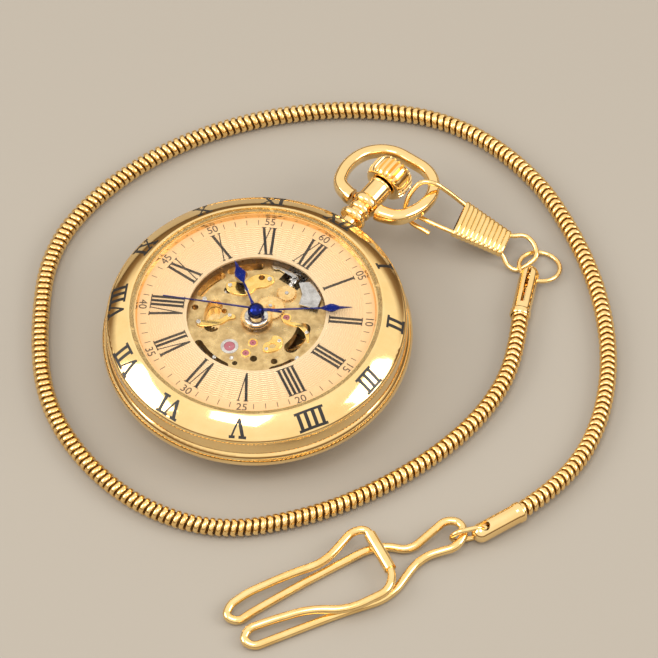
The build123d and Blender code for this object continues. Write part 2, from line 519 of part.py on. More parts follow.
third += gear(THIRD_PINION_TEETH, third_pinion_r, (8.0, 8.35), THIRD_AT, 220 + 180 / 10)
third += rod(0.3, 6.0, 8.4, THIRD_AT)
parts["third_wheel"] = third + rod(0.1, 5.2, 9.5, THIRD_AT)
fourth = crossed_wheel(FOURTH_TEETH, fourth_wheel_r, FOURTH_Z, CENTRE, -60, 0.9, 4)
fourth += gear(FOURTH_PINION_TEETH, fourth_pinion_r, (6.1, 7.05), CENTRE, 40 + 180 / 10)
fourth += rod(0.2, 5.85, SECONDS_HAND_Z - 0.1)
parts["fourth_wheel"] = fourth + rod(0.1, 5.2, 5.9)
escape_points = []
for tooth in range(ESCAPE_TEETH):
    start = tooth * 360 / ESCAPE_TEETH
    escape_points += [polar(1.35, start), polar(ESCAPE_R, start + 5), polar(ESCAPE_R - 0.12, start + 9),
                      polar(1.4, start + 8)]
escape = slab(escape_points, *LEVER_Z) - (ring(1.15, 0.6, 6, 8) - Pos(0, 0, 7) * Box(4, 0.3, 3)
                                          - Pos(0, 0, 7) * Box(0.3, 4, 3))
escape = Pos(*ESCAPE_AT, 0) * escape
escape += gear(ESCAPE_PINION_TEETH, escape_pinion_r, (5.85, 6.6), ESCAPE_AT, 120 + 180 / 8)
parts["escape_wheel"] = escape + rod(0.22, 5.8, 7.6, ESCAPE_AT) + rod(0.1, 5.2, 9.5, ESCAPE_AT)

stone_places = [polar(ESCAPE_R + 0.2, heading(ESCAPE_AT, PALLET_AT) + side * 30, ESCAPE_AT)
                for side in (-1, 1)]
fork_tip = polar(PALLET_TO_BALANCE - ROLLER_PIN_R - 0.32, heading(PALLET_AT, BALANCE_AT), PALLET_AT)
fork = bar(PALLET_AT, fork_tip, 0.16, *LEVER_Z) + rod(0.3, *LEVER_Z, PALLET_AT)
for place in stone_places:
    fork += bar(PALLET_AT, polar(0.85, heading(PALLET_AT, place), PALLET_AT), 0.18, *LEVER_Z)
for side in (-1, 1):
    fork += bar(fork_tip, polar(0.3, heading(PALLET_AT, BALANCE_AT) + side * 50, fork_tip), 0.08, *LEVER_Z)
parts["pallet_fork"] = fork + rod(0.1, 6.3, 9.5, PALLET_AT)
stones = [Pos(x, y, 7.05) * Rot(0, 0, heading(ESCAPE_AT, (x, y))) * Box(0.3, 0.22, 0.18)
          for x, y in stone_places]
parts["pallet_stones"] = Compound(stones)

balance = ring(BALANCE_R, BALANCE_R - 0.6, *BALANCE_Z, BALANCE_AT)
balance += Pos(*BALANCE_AT, 4.35) * (Box(8.2, 0.6, 0.3) & rod(BALANCE_R - 0.3, -1, 1))
balance += rod(0.7, 4.1, 4.6, BALANCE_AT)
parts["balance_wheel"] = balance - rod(0.25, 3, 6, BALANCE_AT)
staff = rod(0.25, 4.0, 8.6, BALANCE_AT) + rod(0.1, 3.1, 9.6, BALANCE_AT)
staff += ring(0.5, 0.2, 3.7, 4.0, BALANCE_AT)
pin_at = polar(ROLLER_PIN_R, heading(BALANCE_AT, PALLET_AT), BALANCE_AT)
staff += rod(1.0, 6.7, 6.88, BALANCE_AT) + rod(0.1, 6.7, 7.2, pin_at)
parts["balance_staff"] = staff
parts["hairspring"] = spiral(0.55, 2.2, 8, 0.05, HAIRSPRING_Z, BALANCE_AT)
regulator = ring(1.0, 0.6, 2.6, 2.85, BALANCE_AT)
index_tip = polar(3.6, heading(BALANCE_AT, COCK_FOOT) + 8, BALANCE_AT)
regulator += bar(polar(0.95, heading(BALANCE_AT, COCK_FOOT) + 8, BALANCE_AT), index_tip, 0.13, 2.6, 2.85)
parts["regulator"] = regulator

# ---- snake chain, clasp and belt clip ----------------------------------------------------------
chain_route = [
    CHAIN_START, (32.6, 21.7), (34.5, 12.1), (33.5, 1.6), (29.7, -9.8), (24.3, -19.5), (15.4, -29.3),
    (3.0, -33.0), (-10.0, -31.3), (-21.4, -25.7), (-30.3, -15.7), (-37.8, -3.6), (-38.5, 9.6), (-34.8, 23.6),
    (-26.7, 36.4), (-15.3, 46.8), (-1.3, 53.3), (13.9, 52.0), (26.2, 46.1), (36.7, 38.5), (45.5, 28.3),
    (50.7, 16.7), (51.2, 5.6), CHAIN_END]
last = len(chain_route) - 1
chain_points = [(x, y, CAP_Z if index in (0, 1, last - 1, last) else CHAIN_R)
                for index, (x, y) in enumerate(chain_route)]
parts["snake_chain"] = bent_rod(chain_points, CHAIN_R, report="snake chain")


def end_cap(length, eye_from_tip, eye_turn):
    """A cap over the chain's end: a collar and barrel, then a flattened ear with a cross hole."""
    cap = turned(section_outline([(0, -1.1), (CAP_R, -1.1), (CAP_R + 0.12, -0.9), (CAP_R + 0.12, -0.2),
                                  (CAP_R, 0), (CAP_R, length - 0.7), (1.1, length), (0, length)]))
    cap -= rod(CHAIN_R, -2, 0)
    ear_start = length - eye_from_tip - 1.3
    cheek = Pos(EAR_HALF, 0, ear_start) * Box(3, 4, length, align=(Align.MIN, Align.CENTER, Align.MIN))
    for side_turn in (0, 180):
        cap -= Rot(0, 0, eye_turn + side_turn) * cheek
    cross_hole = Rot(0, 0, eye_turn) * Rot(0, 90, 0) * Cylinder(EYE_R, 6)
    return cap - Pos(0, 0, length - eye_from_tip) * cross_hole


def laid(shape, start, end, z):
    """Lay an upright shape down so that its axis runs from start towards end."""
    return Pos(start[0], start[1], z) * Rot(0, 0, heading(start, end)) * Rot(0, 90, 0) * shape


upper_cap = end_cap(math.dist(CHAIN_START, UPPER_CAP_TIP), EYE_FROM_TIP, 90)
parts["end_cap_upper"] = laid(upper_cap, CHAIN_START, UPPER_CAP_TIP, CAP_Z)
lower_cap = end_cap(math.dist(CHAIN_END, LOWER_CAP_TIP), EYE_FROM_TIP, 0)
parts["end_cap_lower"] = laid(lower_cap, CHAIN_END, LOWER_CAP_TIP, CAP_Z)

upper_eye = polar(-EYE_FROM_TIP, heading(CHAIN_START, UPPER_CAP_TIP), UPPER_CAP_TIP)
lower_eye = polar(-EYE_FROM_TIP, heading(CHAIN_END, LOWER_CAP_TIP), LOWER_CAP_TIP)

# The jump ring hangs in the upper cap's eye and slopes down to the table.
slope = math.degrees(math.asin((CAP_Z - JUMP_WIRE_R - 0.05) / (2 * JUMP_RING_R)))
jump_ring = Pos(0, JUMP_RING_R, 0) * Torus(JUMP_RING_R, JUMP_WIRE_R)
parts["jump_ring"] = Pos(*upper_eye, CAP_Z) * Rot(0, 0, JUMP_RING_TURN) * Rot(-slope, 0, 0) * jump_ring

# The oval link stands on edge, through the lower cap's eye and the belt clip's eye.
link_length = math.dist(lower_eye, LINK_FAR_END)
link_route = [(0, 0.9), (0, LINK_HALF), (0.9, LINK_HALF + 0.9), (link_length - 0.9, LINK_HALF + 0.9),
              (link_length, LINK_HALF), (link_length, -LINK_HALF), (link_length - 0.9, -LINK_HALF - 0.9),
              (0.9, -LINK_HALF - 0.9), (0, -LINK_HALF), (0, 0.1)]
link_route = [(along_link, 0, up) for along_link, up in link_route]
link = bent_rod(link_route, LINK_WIRE_R, 0.49)
parts["oval_link"] = Pos(*lower_eye, CAP_Z) * Rot(0, 0, heading(lower_eye, LINK_FAR_END)) * link

# The clasp is one spring wire: a latch leg, a loop through the jump ring, and a hook over the bow.
clasp_route = [
    (5.3, 32.1, 5.75), (8.8, 32.6, 5.3), (12.4, 33.3, 4.95), (19.4, 36.3, 1.95), (20.9, 35.5, 0.8),
    (22.6, 35.6, 0.45), (23.5, 37.2, 0.8), (24.2, 39.0, 1.5), (22.7, 40.6, 1.95), (20.5, 41.1, 2.2),
    (18.6, 39.4, 2.05), (10.9, 38.4, 5.3), (8.7, 37.6, 7.5), (6.6, 36.6, 9.5), (4.7, 35.6, 9.6),
    (3.95, 33.6, 8.0), (4.2, 31.7, 6.0), (6.0, 30.9, 5.1), (9.4, 31.2, 4.6)]
parts["clasp_wire"] = bent_rod(clasp_route, CLASP_WIRE_R, report="clasp wire")

# The clasp's sleeve is pressed from ribbed sheet, wide towards the bow.
wide_end, narrow_end = Vector(*SLEEVE_WIDE_END), Vector(*SLEEVE_NARROW_END)
sleeve_axis = narrow_end - wide_end
sleeve_length = sleeve_axis.length
across = Vector(-sleeve_axis.Y, sleeve_axis.X, 0).normalized()


def sleeve_blank(share, half_width, half_thick, length):
    """A short flat-sided length of the sleeve, square to its axis."""
    plane = Plane(origin=wide_end + sleeve_axis * share, x_dir=across, z_dir=sleeve_axis.normalized())
    corner = min(half_thick, half_width) * 0.8
    return extrude(plane * RectangleRounded(2 * half_width, 2 * half_thick, corner), length)


def sleeve_half_width(share):
    return SLEEVE_WIDE_HALF + (SLEEVE_NARROW_HALF - SLEEVE_WIDE_HALF) * share


sleeve = None
for rib in range(SLEEVE_RIBS):
    share = rib / SLEEVE_RIBS
    rib_length = sleeve_length / SLEEVE_RIBS
    half_width = sleeve_half_width(share + 0.5 / SLEEVE_RIBS)
    groove = sleeve_blank(share, half_width - 0.12, SLEEVE_HALF_THICK - 0.1, rib_length)
    ridge = sleeve_blank(share + 0.2 / SLEEVE_RIBS, half_width, SLEEVE_HALF_THICK, rib_length * 0.6)
    bore = sleeve_blank(share, half_width - 0.38, SLEEVE_HALF_THICK - 0.36, rib_length)
    piece = groove + ridge - bore
    sleeve = piece if sleeve is None else sleeve + piece
parts["clasp_sleeve"] = sleeve

# The belt clip is one bent wire whose two ends meet inside a rolled ferrule.
clip_route = [
    (36.9, -18.86, 2.4), (32.9, -16.8, 2.4), (31.4, -18.4, 2.35), (31.2, -25.0, 2.05), (28.3, -29.4, 1.9),
    (25.0, -35.5, 1.5), (24.0, -38.6, 1.15), (24.7, -40.5, 0.95), (26.6, -40.0, 0.75), (27.2, -37.6, 0.67),
    (30.1, -29.4, 0.66), (34.4, -18.9, 0.67), (36.4, -16.6, 0.66), (39.7, -15.3, 0.8), (40.7, -10.9, 1.5),
    (41.2, -8.3, 1.7),
    (43.2, -7.3, 1.72), (45.0, -8.8, 1.7), (45.2, -11.2, 1.6), (42.4, -14.4, 0.9), (41.7, -17.0, 0.68),
    (42.2, -23.5, 0.66), (37.6, -30.4, 0.67), (32.4, -39.6, 0.66), (31.1, -42.0, 0.75), (29.2, -42.3, 0.95),
    (28.7, -40.3, 1.2), (30.6, -37.6, 1.6), (34.3, -32.6, 1.9), (39.0, -29.5, 2.05), (41.9, -23.6, 2.4),
    (40.7, -20.8, 2.4), (36.98, -18.9, 2.4)]
parts["clip_wire"] = bent_rod(clip_route, CLIP_WIRE_R, report="clip wire")
ferrule_start, ferrule_end = Vector(33.9, -17.32, 2.4), Vector(39.9, -20.4, 2.4)
ferrule_axis = ferrule_end - ferrule_start
ferrule_plane = Plane(origin=ferrule_start, z_dir=ferrule_axis.normalized())
ferrule = extrude(ferrule_plane * (Circle(FERRULE_R) - Circle(CLIP_WIRE_R + 0.03)), ferrule_axis.length)
parts["clip_ferrule"] = ferrule

for name, part in parts.items():
    print(name, len(part.solids()), round(part.volume, 2))
os.makedirs("parts", exist_ok=True)
for name, part in parts.items():
    export_step(part, f"parts/{name}.step")
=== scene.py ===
"""An open-faced pocket watch on its snake chain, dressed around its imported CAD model."""
import math

import bmesh
import bpy
import numpy as np
from mathutils import Matrix, Quaternion, Vector
from mathutils.bvhtree import BVHTree


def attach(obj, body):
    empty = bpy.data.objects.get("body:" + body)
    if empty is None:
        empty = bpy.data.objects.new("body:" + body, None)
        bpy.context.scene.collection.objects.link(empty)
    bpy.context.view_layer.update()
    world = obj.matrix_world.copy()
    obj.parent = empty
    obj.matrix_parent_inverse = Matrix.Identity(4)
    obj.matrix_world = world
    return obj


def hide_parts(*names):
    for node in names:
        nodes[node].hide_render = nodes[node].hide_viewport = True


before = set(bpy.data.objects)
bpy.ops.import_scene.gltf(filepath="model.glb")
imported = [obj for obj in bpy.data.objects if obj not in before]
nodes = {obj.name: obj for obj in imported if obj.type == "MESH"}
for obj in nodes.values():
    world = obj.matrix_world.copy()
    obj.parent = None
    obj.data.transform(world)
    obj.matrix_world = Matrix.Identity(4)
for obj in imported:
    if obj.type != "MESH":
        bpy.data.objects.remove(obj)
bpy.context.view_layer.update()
MM = 0.001

# ---- Studio ------------------------------------------------------------------------------------
# The watch lies on a plain pale table, and the camera looks down on it from the front right with a
# long lens. Three square soft boxes and a pale surround light it.
AIM = Vector((5.6, 10.35, 0)) * MM
AZIMUTH, ELEVATION, ROLL = 38.741, 54.599, -2.433
LENS_MM, CAMERA_DISTANCE = 273.56, 0.76335
azimuth, elevation = math.radians(AZIMUTH), math.radians(ELEVATION)
back = Vector((math.sin(azimuth) * math.cos(elevation), -math.cos(azimuth) * math.cos(elevation),
               math.sin(elevation)))
camera = bpy.data.objects.new("camera", bpy.data.cameras.new("camera"))
camera.data.sensor_width = 36
camera.data.lens = LENS_MM
camera.data.clip_start = 0.01
camera.rotation_mode = "QUATERNION"
camera.location = AIM + back * CAMERA_DISTANCE
camera.rotation_quaternion = (-back).to_track_quat("-Z", "Y") @ Quaternion((0, 0, 1), math.radians(ROLL))
bpy.context.scene.collection.objects.link(camera)
bpy.context.scene.camera = camera


def lamp(name, place, size, power, colour):
    """A square soft box that faces the watch."""
    light = bpy.data.objects.new(name, bpy.data.lights.new(name, "AREA"))
    light.data.size = size
    light.data.energy = power
    light.data.color = colour
    light.location = place
    light.rotation_mode = "QUATERNION"
    light.rotation_quaternion = Vector(place).to_track_quat("Z", "Y")
    bpy.context.scene.collection.objects.link(light)


lamp("left_lamp", (-0.47, -0.42, 0.42), 0.42, 2.6, (1.0, 0.97, 0.90))
lamp("right_lamp", (0.52, 0.34, 0.43), 0.36, 2.2, (1.0, 0.96, 0.88))
lamp("top_lamp", (0.05, -0.22, 0.75), 0.30, 1.6, (1.0, 0.97, 0.92))

# The standard view keeps the gold's full colour, where the default one greys bright yellows.
bpy.context.scene.view_settings.view_transform = "Standard"

# The surround is pale overhead, warm half-way down and dark brown near the table's edge.
surround = bpy.data.worlds.new("surround")
bpy.context.scene.world = surround
surround.use_nodes = True
sky_tree = surround.node_tree
sky_direction = sky_tree.nodes.new("ShaderNodeTexCoord").outputs["Generated"]
sky_split = sky_tree.nodes.new("ShaderNodeSeparateXYZ")
sky_tree.links.new(sky_direction, sky_split.inputs[0])
sky_ramp = sky_tree.nodes.new("ShaderNodeValToRGB")
sky_tree.links.new(sky_split.outputs["Z"], sky_ramp.inputs[0])
sky_stops = sky_ramp.color_ramp.elements
sky_stops[0].position, sky_stops[0].color = 0.0, (0.10, 0.06, 0.03, 1)
sky_stops[1].position, sky_stops[1].color = 1.0, (0.95, 0.93, 0.90, 1)
for height, colour in ((0.18, (0.22, 0.15, 0.09, 1)), (0.34, (0.85, 0.78, 0.68, 1)),
                       (0.75, (0.84, 0.80, 0.73, 1))):
    sky_stops.new(height).color = colour
sky_light = sky_tree.nodes["Background"]
sky_light.inputs["Strength"].default_value = 1.26
sky_tree.links.new(sky_ramp.outputs["Color"], sky_light.inputs["Color"])


def mesh_piece(name, verts, faces, body, material=None, smooth=True):
    """Make a mesh object from points in millimetres and let it ride on a CAD body."""
    mesh = bpy.data.meshes.new(name)
    mesh.from_pydata([tuple(np.asarray(v, float) * MM) for v in verts], [], faces)
    mesh.validate()
    for face in mesh.polygons:
        face.use_smooth = smooth
    if smooth:
        mesh.set_sharp_from_angle(angle=math.radians(50))
    obj = bpy.data.objects.new(name, mesh)
    bpy.context.scene.collection.objects.link(obj)
    if material:
        mesh.materials.append(material)
    if body:
        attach(obj, body)
    return obj


def plain_material(name, colour, roughness):
    """A material of one colour and one gloss."""
    material = bpy.data.materials.new(name)
    material.use_nodes = True
    shader = material.node_tree.nodes["Principled BSDF"]
    shader.inputs["Base Color"].default_value = (*colour, 1)
    shader.inputs["Roughness"].default_value = roughness
    return material


TABLE_HALF = 900
table_corners = [(x * TABLE_HALF, y * TABLE_HALF, 0) for x, y in ((-1, -1), (1, -1), (1, 1), (-1, 1))]
table_top = mesh_piece("table_top", table_corners, [(0, 1, 2, 3)], None,
                       plain_material("table_paint", (0.33, 0.30, 0.262), 0.6))

# ---- Snake chain -------------------------------------------------------------------------------
# A flexible round chain of formed gilt bands, each one waved so that it nests in the next. It lies
# loose on the table and both of its ends are soldered into caps.
CHAIN_R = 1.35
CAP_Z = 1.65  # the height of the chain's middle in its caps, which are thicker than the chain
route = [
    (28.1, 29.2), (32.6, 21.7), (34.5, 12.1), (33.5, 1.6), (29.7, -9.8), (24.3, -19.5), (15.4, -29.3),
    (3.0, -33.0), (-10.0, -31.3), (-21.4, -25.7), (-30.3, -15.7), (-37.8, -3.6), (-38.5, 9.6), (-34.8, 23.6),
    (-26.7, 36.4), (-15.3, 46.8), (-1.3, 53.3), (13.9, 52.0), (26.2, 46.1), (36.7, 38.5), (45.5, 28.3),
    (50.7, 16.7), (51.2, 5.6), (48.9, -1.4)]
last = len(route) - 1


def smooth_line(points, closed=False, resolution=12):
    """Evenly usable points along the smooth curve that has these control points, in millimetres."""
    curve = bpy.data.curves.new("line", "CURVE")
    curve.dimensions = "3D"
    curve.resolution_u = resolution
    spline = curve.splines.new("NURBS")
    spline.points.add(len(points) - 1)
    for point, place in zip(spline.points, points):
        point.co = (*place, 1)
    spline.order_u = 3
    spline.use_endpoint_u = not closed
    spline.use_cyclic_u = closed
    holder = bpy.data.objects.new("line", curve)
    mesh = bpy.data.meshes.new_from_object(holder)
    line = np.array([v.co for v in mesh.vertices])
    bpy.data.objects.remove(holder)
    bpy.data.meshes.remove(mesh)
    bpy.data.curves.remove(curve)
    return line


def spaced(line, step):
    """Points every step along a line, with the direction at each."""
    lengths = np.concatenate([[0], np.cumsum(np.linalg.norm(np.diff(line, axis=0), axis=1))])
    count = max(2, int(round(lengths[-1] / step)) + 1)
    marks = np.linspace(0, lengths[-1], count)
    places = np.stack([np.interp(marks, lengths, line[:, axis]) for axis in range(3)], axis=1)
    along = np.gradient(places, axis=0)
    return places, along / np.linalg.norm(along, axis=1)[:, None]


def side_and_up(along, up=(0, 0, 1)):
    """Two directions square to each direction, the second as near to up as it can be."""
    side = np.cross(along, up)
    side /= np.linalg.norm(side, axis=1)[:, None]
    return side, np.cross(side, along)


def ring_quads(rings, around, start=0, closed=False, flip=False):
    """Faces that join rings of points, each ring to the next."""
    quads = []
    for ring in range(rings if closed else rings - 1):
        here, beside = start + ring * around, start + (ring + 1) % rings * around
        for step in range(around):
            after = (step + 1) % around
            quad = (here + step, here + after, beside + after, beside + step)
            quads.append((quad[0], quad[3], quad[2], quad[1]) if flip else quad)
    return quads


def lid(start, around):
    """One face over a whole ring of points."""
    return tuple(range(start, start + around))


chain_points = [(x, y, CAP_Z if index in (0, 1, last - 1, last) else CHAIN_R)
                for index, (x, y) in enumerate(route)]
chain_line = smooth_line(chain_points)
LINK_PITCH = 1.07
BAND = [(-0.36, 0.9), (-0.38, 1.14), (-0.34, 1.26), (-0.22, 1.33), (0, 1.35), (0.22, 1.33), (0.34, 1.26),
        (0.38, 1.14), (0.36, 0.9)]  # a band's section: along the chain, and out from its middle
FOLD_DEPTH = 0.2
CORE_R = 0.96
AROUND = 40
places, along = spaced(chain_line, LINK_PITCH)
side, up = side_and_up(along)
turn = np.arange(AROUND) * 2 * math.pi / AROUND
verts, faces = [], []
for place, forward, across, upward in zip(places[1:-1], along[1:-1], side[1:-1], up[1:-1]):
    start = len(verts)
    for angle in turn:
        wave = FOLD_DEPTH * (4 * abs((angle / math.pi) % 1 - 0.5) - 1)
        outward = across * math.cos(angle) + upward * math.sin(angle)
        for shift, radius in BAND:
            verts.append(place + forward * (shift + wave) + outward * radius)
    for step in range(AROUND):
        for point in range(len(BAND)):
            here, beside = start + step * len(BAND), start + (step + 1) % AROUND * len(BAND)
            after = (point + 1) % len(BAND)
            faces.append((here + point, here + after, beside + after, beside + point))
start, core_face = len(verts), len(faces)
for place, across, upward in zip(places, side, up):
    for angle in turn:
        verts.append(place + CORE_R * (across * math.cos(angle) + upward * math.sin(angle)))
faces += ring_quads(len(places), AROUND, start) + [lid(start, AROUND), lid(len(verts) - AROUND, AROUND)]


def new_group(name, inputs, outputs):
    """An empty shader node group with named sockets."""
    group = bpy.data.node_groups.new(name, "ShaderNodeTree")
    for socket, kind, value in inputs:
        group.interface.new_socket(socket, in_out="INPUT", socket_type=kind).default_value = value
    for socket, kind in outputs:
        group.interface.new_socket(socket, in_out="OUTPUT", socket_type=kind)
    return group, group.nodes.new("NodeGroupInput"), group.nodes.new("NodeGroupOutput")


def add(tree, kind, settings=None, **values):
    """A new node: settings are its own properties, and values go on its inputs by name or as i0, i1."""
    node = tree.nodes.new("ShaderNode" + kind)
    for key, value in (settings or {}).items():
        setattr(node, key, value)
    for key, value in values.items():
        socket = node.inputs[int(key[1:]) if key[0] == "i" and key[1:].isdigit() else key]
        if isinstance(value, bpy.types.NodeSocket):
            tree.links.new(value, socket)
        else:
            socket.default_value = value
    return node


def math_node(tree, operation, first, second=0.0):
    """The result of a sum on one or two numbers."""
    return add(tree, "Math", {"operation": operation}, i0=first, i1=second).outputs[0]


# Handling marks: cloudy tarnish, hairline scratches in two directions and fine grain, in millimetres.
marks, marks_in, marks_out = new_group(
    "handling_marks", [("Cloud Size", "NodeSocketFloat", 3.0), ("Scratches", "NodeSocketFloat", 0.5)],
    [("Cloud", "NodeSocketFloat"), ("Scratch", "NodeSocketFloat"), ("Grain", "NodeSocketFloat")])
where = add(marks, "TexCoord").outputs["Object"]
in_mm = add(marks, "VectorMath", {"operation": "SCALE"}, i0=where, Scale=1000.0).outputs[0]
cloud_scale = math_node(marks, "DIVIDE", 1.0, marks_in.outputs["Cloud Size"])
cloud = add(marks, "TexNoise", Vector=in_mm, Scale=cloud_scale, Detail=4.0, Roughness=0.6).outputs[0]
hairs = []
for heading, stretch in ((0.6, (0.25, 9.0, 4.0)), (-0.9, (7.0, 0.3, 5.0))):
    turned = add(marks, "Mapping", Vector=in_mm, Rotation=(0.2, 0.1, heading), Scale=stretch).outputs[0]
    streak = add(marks, "TexNoise", Vector=turned, Scale=1.0, Detail=2.0).outputs[0]
    hairs.append(add(marks, "MapRange", i0=streak, i1=0.62, i2=0.72).outputs[0])
scratch = math_node(marks, "MAXIMUM", hairs[0], hairs[1])
scratch = math_node(marks, "MULTIPLY", scratch, marks_in.outputs["Scratches"])
grain = add(marks, "TexNoise", Vector=in_mm, Scale=14.0, Detail=3.0).outputs[0]
for socket, value in (("Cloud", cloud), ("Scratch", scratch), ("Grain", grain)):
    marks.links.new(value, marks_out.inputs[socket])


def metal(name, colour, dark, roughness=(0.08, 0.2), cloud_size=3.0, scratches=0.4, bump=0.05, grain_bump=0.0,
          weight=1.0):
    """A metal whose colour, gloss and surface vary with handling marks."""
    material = bpy.data.materials.new(name)
    material.use_nodes = True
    tree = material.node_tree
    shader = tree.nodes["Principled BSDF"]
    shader.inputs["Metallic"].default_value = weight
    worn = tree.nodes.new("ShaderNodeGroup")
    worn.node_tree = marks
    worn.inputs["Cloud Size"].default_value = cloud_size
    worn.inputs["Scratches"].default_value = scratches
    share = add(tree, "MapRange", i0=worn.outputs["Cloud"], i1=0.35, i2=0.75).outputs[0]
    tint = add(tree, "Mix", {"data_type": "RGBA"}, i0=share, i6=(*colour, 1), i7=(*dark, 1)).outputs[2]
    tree.links.new(tint, shader.inputs["Base Color"])
    low, high = roughness
    gloss = add(tree, "MapRange", i0=worn.outputs["Cloud"], i1=0.3, i2=0.8, i3=low, i4=high).outputs[0]
    gloss = math_node(tree, "ADD", gloss, math_node(tree, "MULTIPLY", worn.outputs["Scratch"], 0.12))
    tree.links.new(gloss, shader.inputs["Roughness"])
    rise = math_node(tree, "MULTIPLY", worn.outputs["Grain"], grain_bump)
    rise = math_node(tree, "SUBTRACT", rise, math_node(tree, "MULTIPLY", worn.outputs["Scratch"], bump))
    relief = add(tree, "Bump", Strength=0.5, Distance=0.00003, Height=rise).outputs[0]
    tree.links.new(relief, shader.inputs["Normal"])
    return material


chain_gilt = metal("chain_gilt", (0.98, 0.71, 0.32), (0.88, 0.56, 0.19),
                   roughness=(0.12, 0.26), cloud_size=1.6, scratches=0.5, bump=0.06, grain_bump=0.25)
snake_chain = mesh_piece("snake_chain_bands", verts, faces, "case", chain_gilt)
# The core tube inside the bands is coloured near-black brown as painted shade, so the slits between the bands
# read dark.
painted_shade_core = metal("painted_shade_core", (0.12, 0.06, 0.015), (0.06, 0.03, 0.01),
                   roughness=(0.35, 0.5), cloud_size=1.6, scratches=0.0, bump=0.0, grain_bump=0.2)
snake_chain.data.materials.append(painted_shade_core)
for face in snake_chain.data.polygons[core_face:]:
    face.material_index = 1
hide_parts("snake_chain")


def dress(material, *names):
    """Give CAD nodes a finish."""
    for name in names:
        data = nodes[name].data
        data.materials.clear()
        data.materials.append(material)


# ---- Case --------------------------------------------------------------------------------------
# Two turned and gilt shells. The back cover snaps on under the body, whose domed ring carries the
# enamelled hour numerals and grips the crystal.
case_gilt = metal("case_gilt", (0.99, 0.74, 0.36), (0.95, 0.65, 0.27),
                  roughness=(0.05, 0.12), cloud_size=6.0, scratches=0.35, bump=0.04)
dress(case_gilt, "case_body", "back_cover")

# ---- Bezel numerals ----------------------------------------------------------------------------
# Bold hour numerals sunk into the case's domed ring and filled with black enamel. Their feet point
# to the middle, and four is written with four strokes.
BEZEL_INNER_R, BEZEL_OUTER_R = 19.8, 22.35
BEZEL_STROKES = (0.55, 0.30, 0.30, 0.34)  # a thick stroke, a thin stroke, a serif and its height
bezel_surface = BVHTree.FromObject(nodes["case_body"], bpy.context.evaluated_depsgraph_get())


def on_bezel(x, y):
    """The height of the case's ring under a point, in millimetres."""
    hit = bezel_surface.ray_cast(Vector((x * MM, y * MM, 0.02)), Vector((0, 0, -1)))[0]
    return hit.z / MM


def crossing(a, b, c, d):
    """Where the line through a and b meets the line through c and d."""
    direction, other = Vector(b) - Vector(a), Vector(d) - Vector(c)
    gap = Vector(c) - Vector(a)
    share = (gap.x * other.y - gap.y * other.x) / (direction.x * other.y - direction.y * other.x)
    return tuple(Vector(a) + direction * share)


def letter_outline(letter, thick, thin, serif, foot, height):
    """The outline of one Roman numeral letter, standing on y = 0, and its width."""
    top = height - foot
    if letter == "I":
        wide = thick + 2 * serif
        return [(0, 0), (wide, 0), (wide, foot), (wide - serif, foot), (wide - serif, top), (wide, top),
                (wide, height), (0, height), (0, top), (serif, top), (serif, foot), (0, foot)], wide
    if letter == "V":
        wide = 3.1 * thick + thin + 2 * serif
        point = serif + 1.35 * thick
        left_edge = (serif + thick, top), (point + thick, 0)
        right_edge = (wide - serif - thin, top), (point + 0.6 * thick - thin, 0)
        return [(0, height), (2 * serif + thick, height), (2 * serif + thick, top), left_edge[0],
                crossing(*left_edge, *right_edge), right_edge[0], (wide - 2 * serif - thin, top),
                (wide - 2 * serif - thin, height), (wide, height), (wide, top), (wide - serif, top),
                (point + 0.6 * thick, 0), (point, 0), (serif, top), (0, top)], wide
    wide = 2.8 * thick + thin + 2 * serif
    thick_left = (serif, top), (wide - serif - thick, foot)
    thick_right = (serif + thick, top), (wide - serif, foot)
    thin_left = (serif, foot), (wide - serif - thin, top)
    thin_right = (serif + thin, foot), (wide - serif, top)
    return [(0, height), (2 * serif + thick, height), (2 * serif + thick, top), thick_right[0],
            crossing(*thick_right, *thin_left), thin_left[1], (wide - 2 * serif - thin, top),
            (wide - 2 * serif - thin, height), (wide, height), (wide, top), thin_right[1],
            crossing(*thick_right, *thin_right), thick_right[1], (wide, foot), (wide, 0),
            (wide - 2 * serif - thick, 0), (wide - 2 * serif - thick, foot), thick_left[1],
            crossing(*thick_left, *thin_right), thin_right[0], (2 * serif + thin, foot),
            (2 * serif + thin, 0), (0, 0), (0, foot), thin_left[0], crossing(*thick_left, *thin_left),
            thick_left[0], (0, top)], wide


HOURS = ("XII", "I", "II", "III", "IIII", "V", "VI", "VII", "VIII", "IX", "X", "XI")


def clock_directions(degrees):
    """Outward from the dial's middle at a clockwise angle from twelve, and clockwise there."""
    angle = math.radians(degrees)
    return Vector((math.sin(angle), math.cos(angle), 0)), Vector((math.cos(angle), -math.sin(angle), 0))


